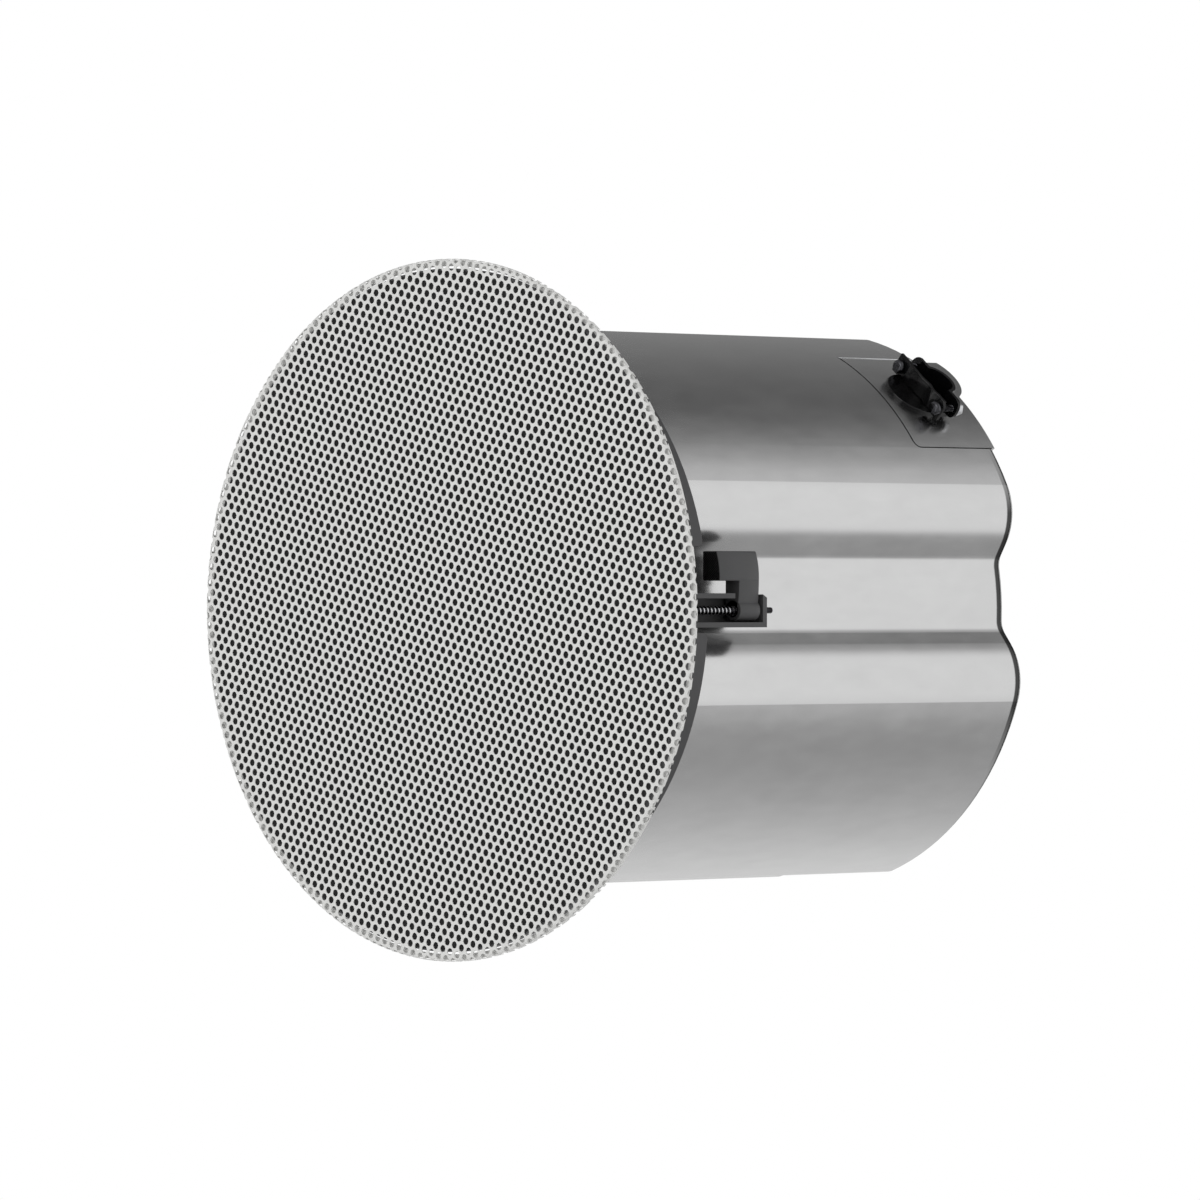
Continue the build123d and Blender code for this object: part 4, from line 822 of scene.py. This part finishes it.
def clamp_flange():
    """The oblong flange, bent to the can's wall, with the cable's bore."""
    radius, lead = 12.8, 9.2
    bm = bmesh.new()
    outline = []
    for start, centre in ((-90, lead), (90, 0.0)):
        angles = [radians(start + 7.5 * k) for k in range(25)]
        outline += [(centre + radius * cos(angle), radius * sin(angle)) for angle in angles]
    loop = [bm.verts.new((x * MM, y * MM, FLANGE_TOP * MM)) for x, y in outline]
    for first, second in zip(loop, loop[1:] + loop[:1]):
        bm.edges.new((first, second))
    lift = Matrix.Translation((0, 0, FLANGE_TOP * MM))
    bmesh.ops.create_circle(bm, segments=40, radius=ENTRY_BORE_R * MM, matrix=lift)
    bmesh.ops.triangle_fill(bm, use_beauty=True, use_dissolve=False, edges=bm.edges[:])
    dropped = bmesh.ops.extrude_face_region(bm, geom=bm.faces[:])
    for vert in verts_of(dropped["geom"]):
        vert.co.z = sqrt((CAN_R * MM) ** 2 - vert.co.y**2) - 0.1 * MM
    bmesh.ops.recalc_face_normals(bm, faces=bm.faces[:])
    rim = [e for e in bm.edges if all(v.co.z > (FLANGE_TOP - 0.05) * MM for v in e.verts)]
    rim = [e for e in rim if e.calc_face_angle(0) > radians(40)]
    bmesh.ops.bevel(
        bm, geom=rim, offset=0.3 * MM, offset_type="OFFSET", segments=2, profile=0.5, affect="EDGES",
        clamp_overlap=True, material=-1,
    )
    return bm


class SPEAKER_OT_cable_entry(bpy.types.Operator):
    """Makes the cable clamp on the terminal cover: flange, jaws, screws and nuts"""

    bl_idname = "speaker.cable_entry"
    bl_label = "Cable clamp"

    def execute(self, context):
        place = entry_place()
        throat = ring(ENTRY_BORE_R, 8.9, 114.7, FLANGE_TOP - 0.2, 56)
        jaw = round_edges(rear_jaw(), 0.25, 2)
        body = moved(joined(clamp_flange(), throat, jaw), place)
        add_piece("cable_clamp_casting", body, "black_metal", "enclosure", ["cable_clamp_body"], 22)
        strap = moved(round_edges(front_strap(), 0.22, 2, angle=20), place)
        add_piece("cable_clamp_bar", strap, "black_metal", "cable_strap", ["cable_clamp_strap"], 22)
        screws, nuts = [], []
        for side in (-1, 1):
            seat = (STRAP_FRONT * MM, side * ENTRY_SCREW_SIDE * MM, (FLANGE_TOP + ENTRY_SCREW_RISE) * MM)
            axis = Matrix.Translation(seat) @ Matrix.Rotation(radians(-90), 4, "Y")
            head = domed(rod(3.05, -2.4, 0, 32), 1.3, 4, -2.3)
            shank = threaded_shank(1.6, 0.9, -0.2, 14.5, 12)
            core = rod(1.1, -1.0, 14.55, 16)
            screws.append(moved(joined(head, shank, core), axis))
            nut = rod(3.3, 11.0, 14.0, 6)
            round_edges(nut, 0.25, 1)
            nuts.append(moved(nut, axis))
        screws, nuts = moved(joined(*screws), place), moved(joined(*nuts), place)
        add_piece(
            "cable_clamp_machine_screws", screws, "black_screw", "cable_strap", ["cable_clamp_screws"],
            look="dark_zinc",
        )
        add_piece("cable_clamp_hex_nuts", nuts, "bright_zinc", "enclosure", ["cable_clamp_nuts"])
        return {"FINISHED"}


# Terminal cover


def cover_gasket():
    """The gasket's edge, which shows as a line along the terminal cover's front and one side."""
    far = radians(COVER_SIDES[1]) * CAN_R
    path = [(radians(a) * CAN_R, COVER_LOW) for a in (COVER_SIDES[0] + 0.25 * k for k in range(109))]
    centre = (far - COVER_CORNER, COVER_LOW + COVER_CORNER)
    path += [
        (centre[0] + COVER_CORNER * cos(radians(a)), centre[1] + COVER_CORNER * sin(radians(a)))
        for a in range(-90, 1, 15)
    ]
    path += [(far, COVER_LOW + COVER_CORNER + 3.0 * k) for k in range(1, 16)]
    bm = bmesh.new()
    verts = [bm.verts.new((along * MM, high * MM, 0)) for along, high in path]
    for first, second in zip(verts, verts[1:]):
        bm.edges.new((first, second))
    raised = bmesh.ops.extrude_edge_only(bm, edges=bm.edges[:])
    width = 0.5 * MM
    corner = Vector((centre[0] * MM, centre[1] * MM, 0))
    for vert in verts_of(raised["geom"]):
        inward = corner - vert.co
        if vert.co.x < corner.x:
            inward = Vector((0, 1, 0))
        elif vert.co.y > corner.y:
            inward = Vector((-1, 0, 0))
        vert.co += inward.normalized() * width
    bmesh.ops.solidify(bm, geom=bm.faces[:], thickness=0.1 * MM)
    for vert in bm.verts:
        angle, reach = vert.co.x / (CAN_R * MM), (CAN_R + 0.06) * MM + abs(vert.co.z) * 0.5
        vert.co = Vector((reach * cos(angle), reach * sin(angle), vert.co.y))
    bmesh.ops.recalc_face_normals(bm, faces=bm.faces[:])
    return bm


class SPEAKER_OT_cover(bpy.types.Operator):
    """Makes the line of the gasket round the terminal cover, and a thin bright rod along its far side that
    paints the highlight on the cover's edge step
    """

    bl_idname = "speaker.cover"
    bl_label = "Terminal cover edges"

    def execute(self, context):
        add_piece("cover_gasket_edge", cover_gasket(), "gasket_foam", "enclosure")
        # A thin bright rod along the cover's far side paints the highlight on its edge step
        side = radians(COVER_SIDES[0] + 0.2)
        place = Matrix.Translation((CAN_R * MM * cos(side), CAN_R * MM * sin(side), 0))
        highlight_rod = rod(0.3, COVER_LOW, CAN_END / MM - 4, 16)
        round_edges(highlight_rod, 0.12, 1)
        add_piece("cover_edge_highlight", moved(highlight_rod, place), "bright_zinc", "enclosure")
        return {"FINISHED"}


# CAD nodes that stay


class SPEAKER_OT_solids(bpy.types.Operator):
    """Gives every solid that stays visible its finish"""

    bl_idname = "speaker.solids"
    bl_label = "Finish the solids"

    def execute(self, context):
        slots = {part["node"]: part["material_slot"] for part in frame["record"]["subparts"]}
        for name, node in frame["nodes"].items():
            if name not in slots:
                raise RuntimeError(f"{name} has no material slot")
            node.data.materials.clear()
            node.data.materials.append(finish(slots[name]))
        return {"FINISHED"}


# Stage


def grey(level):
    """A neutral colour of a brightness, with its alpha."""
    return (level, level, level, 1)


def studio_world(settings):
    """A studio all round, bright on one side, and a plain backdrop where the camera looks at it."""
    world = bpy.data.worlds.new("studio")
    bpy.context.scene.world = world
    world.use_nodes = True
    tree = world.node_tree
    tree.nodes.clear()
    place = add_node(tree, "ShaderNodeTexCoord")
    axes = add_node(tree, "ShaderNodeSeparateXYZ", {0: place.outputs["Generated"]})
    azimuth = add_node(
        tree, "ShaderNodeMath", {0: axes.outputs["Y"], 1: axes.outputs["X"]}, operation="ARCTAN2"
    )
    share = add_node(
        tree, "ShaderNodeMapRange", {"Value": azimuth.outputs[0], "From Min": -pi, "From Max": pi}
    )
    ramp = add_node(tree, "ShaderNodeValToRGB", {"Fac": share.outputs["Result"]})
    while len(ramp.color_ramp.elements) < len(STUDIO_RING):
        ramp.color_ramp.elements.new(0.5)
    for element, (angle, level) in zip(ramp.color_ramp.elements, STUDIO_RING):
        element.position = (angle + 180) / 360
        element.color = grey(level)
    shade = grey(LOW_STUDIO)
    for start, stop, above in (
        (-0.15, 0.25, ramp.outputs["Color"]), (0.78, 0.92, grey(ZENITH)), (0.955, 0.97, grey(OVERHEAD)),
    ):
        rise = add_node(
            tree, "ShaderNodeMapRange", {"Value": axes.outputs["Z"], "From Min": start, "From Max": stop}
        )
        mixed = add_node(
            tree, "ShaderNodeMix", {"Factor": rise.outputs["Result"], "A": shade, "B": above},
            data_type="RGBA",
        )
        shade = mixed.outputs[2]
    lit = add_node(tree, "ShaderNodeBackground", {"Color": shade, "Strength": settings.studio})
    seen = add_node(tree, "ShaderNodeBackground", {"Color": (*settings.backdrop, 1), "Strength": 1.0})
    path = add_node(tree, "ShaderNodeLightPath")
    chosen = add_node(
        tree, "ShaderNodeMixShader", {0: path.outputs["Is Camera Ray"], 1: lit.outputs[0], 2: seen.outputs[0]}
    )
    add_node(tree, "ShaderNodeOutputWorld", {"Surface": chosen.outputs[0]})


def front_softbox(scene, power):
    """A wide soft light in front of the grille, which the camera doesn't see."""
    light = bpy.data.lights.new("front_softbox", "AREA")
    light.size = SOFTBOX_SIZE
    light.energy = power
    lamp = bpy.data.objects.new("front_softbox", light)
    scene.collection.objects.link(lamp)
    lamp.location = SOFTBOX_PLACE
    lamp.rotation_euler = (Vector(SOFTBOX_AIM) - Vector(SOFTBOX_PLACE)).to_track_quat("-Z", "Y").to_euler()
    lamp.visible_camera = False


class SPEAKER_OT_stage(bpy.types.Operator):
    """Sets the pale floor, the studio light and the camera"""

    bl_idname = "speaker.stage"
    bl_label = "Stage"

    def execute(self, context):
        scene = context.scene
        settings = scene.speaker_stage
        scene.view_settings.view_transform = "Standard"
        scene.view_settings.look = "None"
        studio_world(settings)
        bm = bmesh.new()
        below = Matrix.Translation((0, 0, -settings.drop))
        bmesh.ops.create_grid(bm, x_segments=1, y_segments=1, size=40, matrix=below)
        mesh = bpy.data.meshes.new("studio_floor")
        bm.to_mesh(mesh)
        bm.free()
        floor = bpy.data.objects.new("studio_floor", mesh)
        scene.collection.objects.link(floor)
        material, _, _ = start_material("floor_paint", tuple(settings.floor), 0.0, 0.9)
        mesh.materials.append(material)
        front_softbox(scene, settings.front_power)
        camera = bpy.data.objects.new("camera", bpy.data.cameras.new("camera"))
        scene.collection.objects.link(camera)
        half = sqrt(0.5)
        turn = Matrix(((half, 0, half), (0, -1, 0), (half, 0, -half))).to_4x4()
        camera.matrix_world = Matrix.Translation(CAMERA_PLACE) @ turn
        camera.data.lens = settings.lens
        camera.data.sensor_width = 36
        camera.data.clip_end = 100
        scene.camera = camera
        return {"FINISHED"}


class SPEAKER_PT_panel(bpy.types.Panel):
    """Shows the steps that make the speaker, and their settings"""

    bl_label = "In ceiling speaker"
    bl_idname = "SPEAKER_PT_panel"
    bl_space_type = "VIEW_3D"
    bl_region_type = "UI"
    bl_category = "Speaker"

    def draw(self, context):
        for step in STEPS:
            self.layout.operator(step.bl_idname)
        scene = context.scene
        for group in (scene.speaker_sizes, scene.speaker_finishes, scene.speaker_stage):
            box = self.layout.box()
            for key in group.__annotations__:
                box.prop(group, key)


STEPS = (
    SPEAKER_OT_solids,
    SPEAKER_OT_grille,
    SPEAKER_OT_clamps,
    SPEAKER_OT_cable_entry,
    SPEAKER_OT_cover,
    SPEAKER_OT_stage,
)
CLASSES = (SpeakerSizes, SpeakerFinishes, StageSettings, *STEPS, SPEAKER_PT_panel)


def register():
    for cls in CLASSES:
        bpy.utils.register_class(cls)
    bpy.types.Scene.speaker_sizes = PointerProperty(type=SpeakerSizes)
    bpy.types.Scene.speaker_finishes = PointerProperty(type=SpeakerFinishes)
    bpy.types.Scene.speaker_stage = PointerProperty(type=StageSettings)


def unregister():
    del bpy.types.Scene.speaker_stage
    del bpy.types.Scene.speaker_finishes
    del bpy.types.Scene.speaker_sizes
    for cls in reversed(CLASSES):
        bpy.utils.unregister_class(cls)


def main():
    register()
    bpy.ops.speaker.solids()
    bpy.ops.speaker.grille()
    bpy.ops.speaker.clamps()
    bpy.ops.speaker.cable_entry()
    bpy.ops.speaker.cover()
    bpy.ops.speaker.stage()
    bpy.context.view_layer.update()


if __name__ == "__main__":
    main()
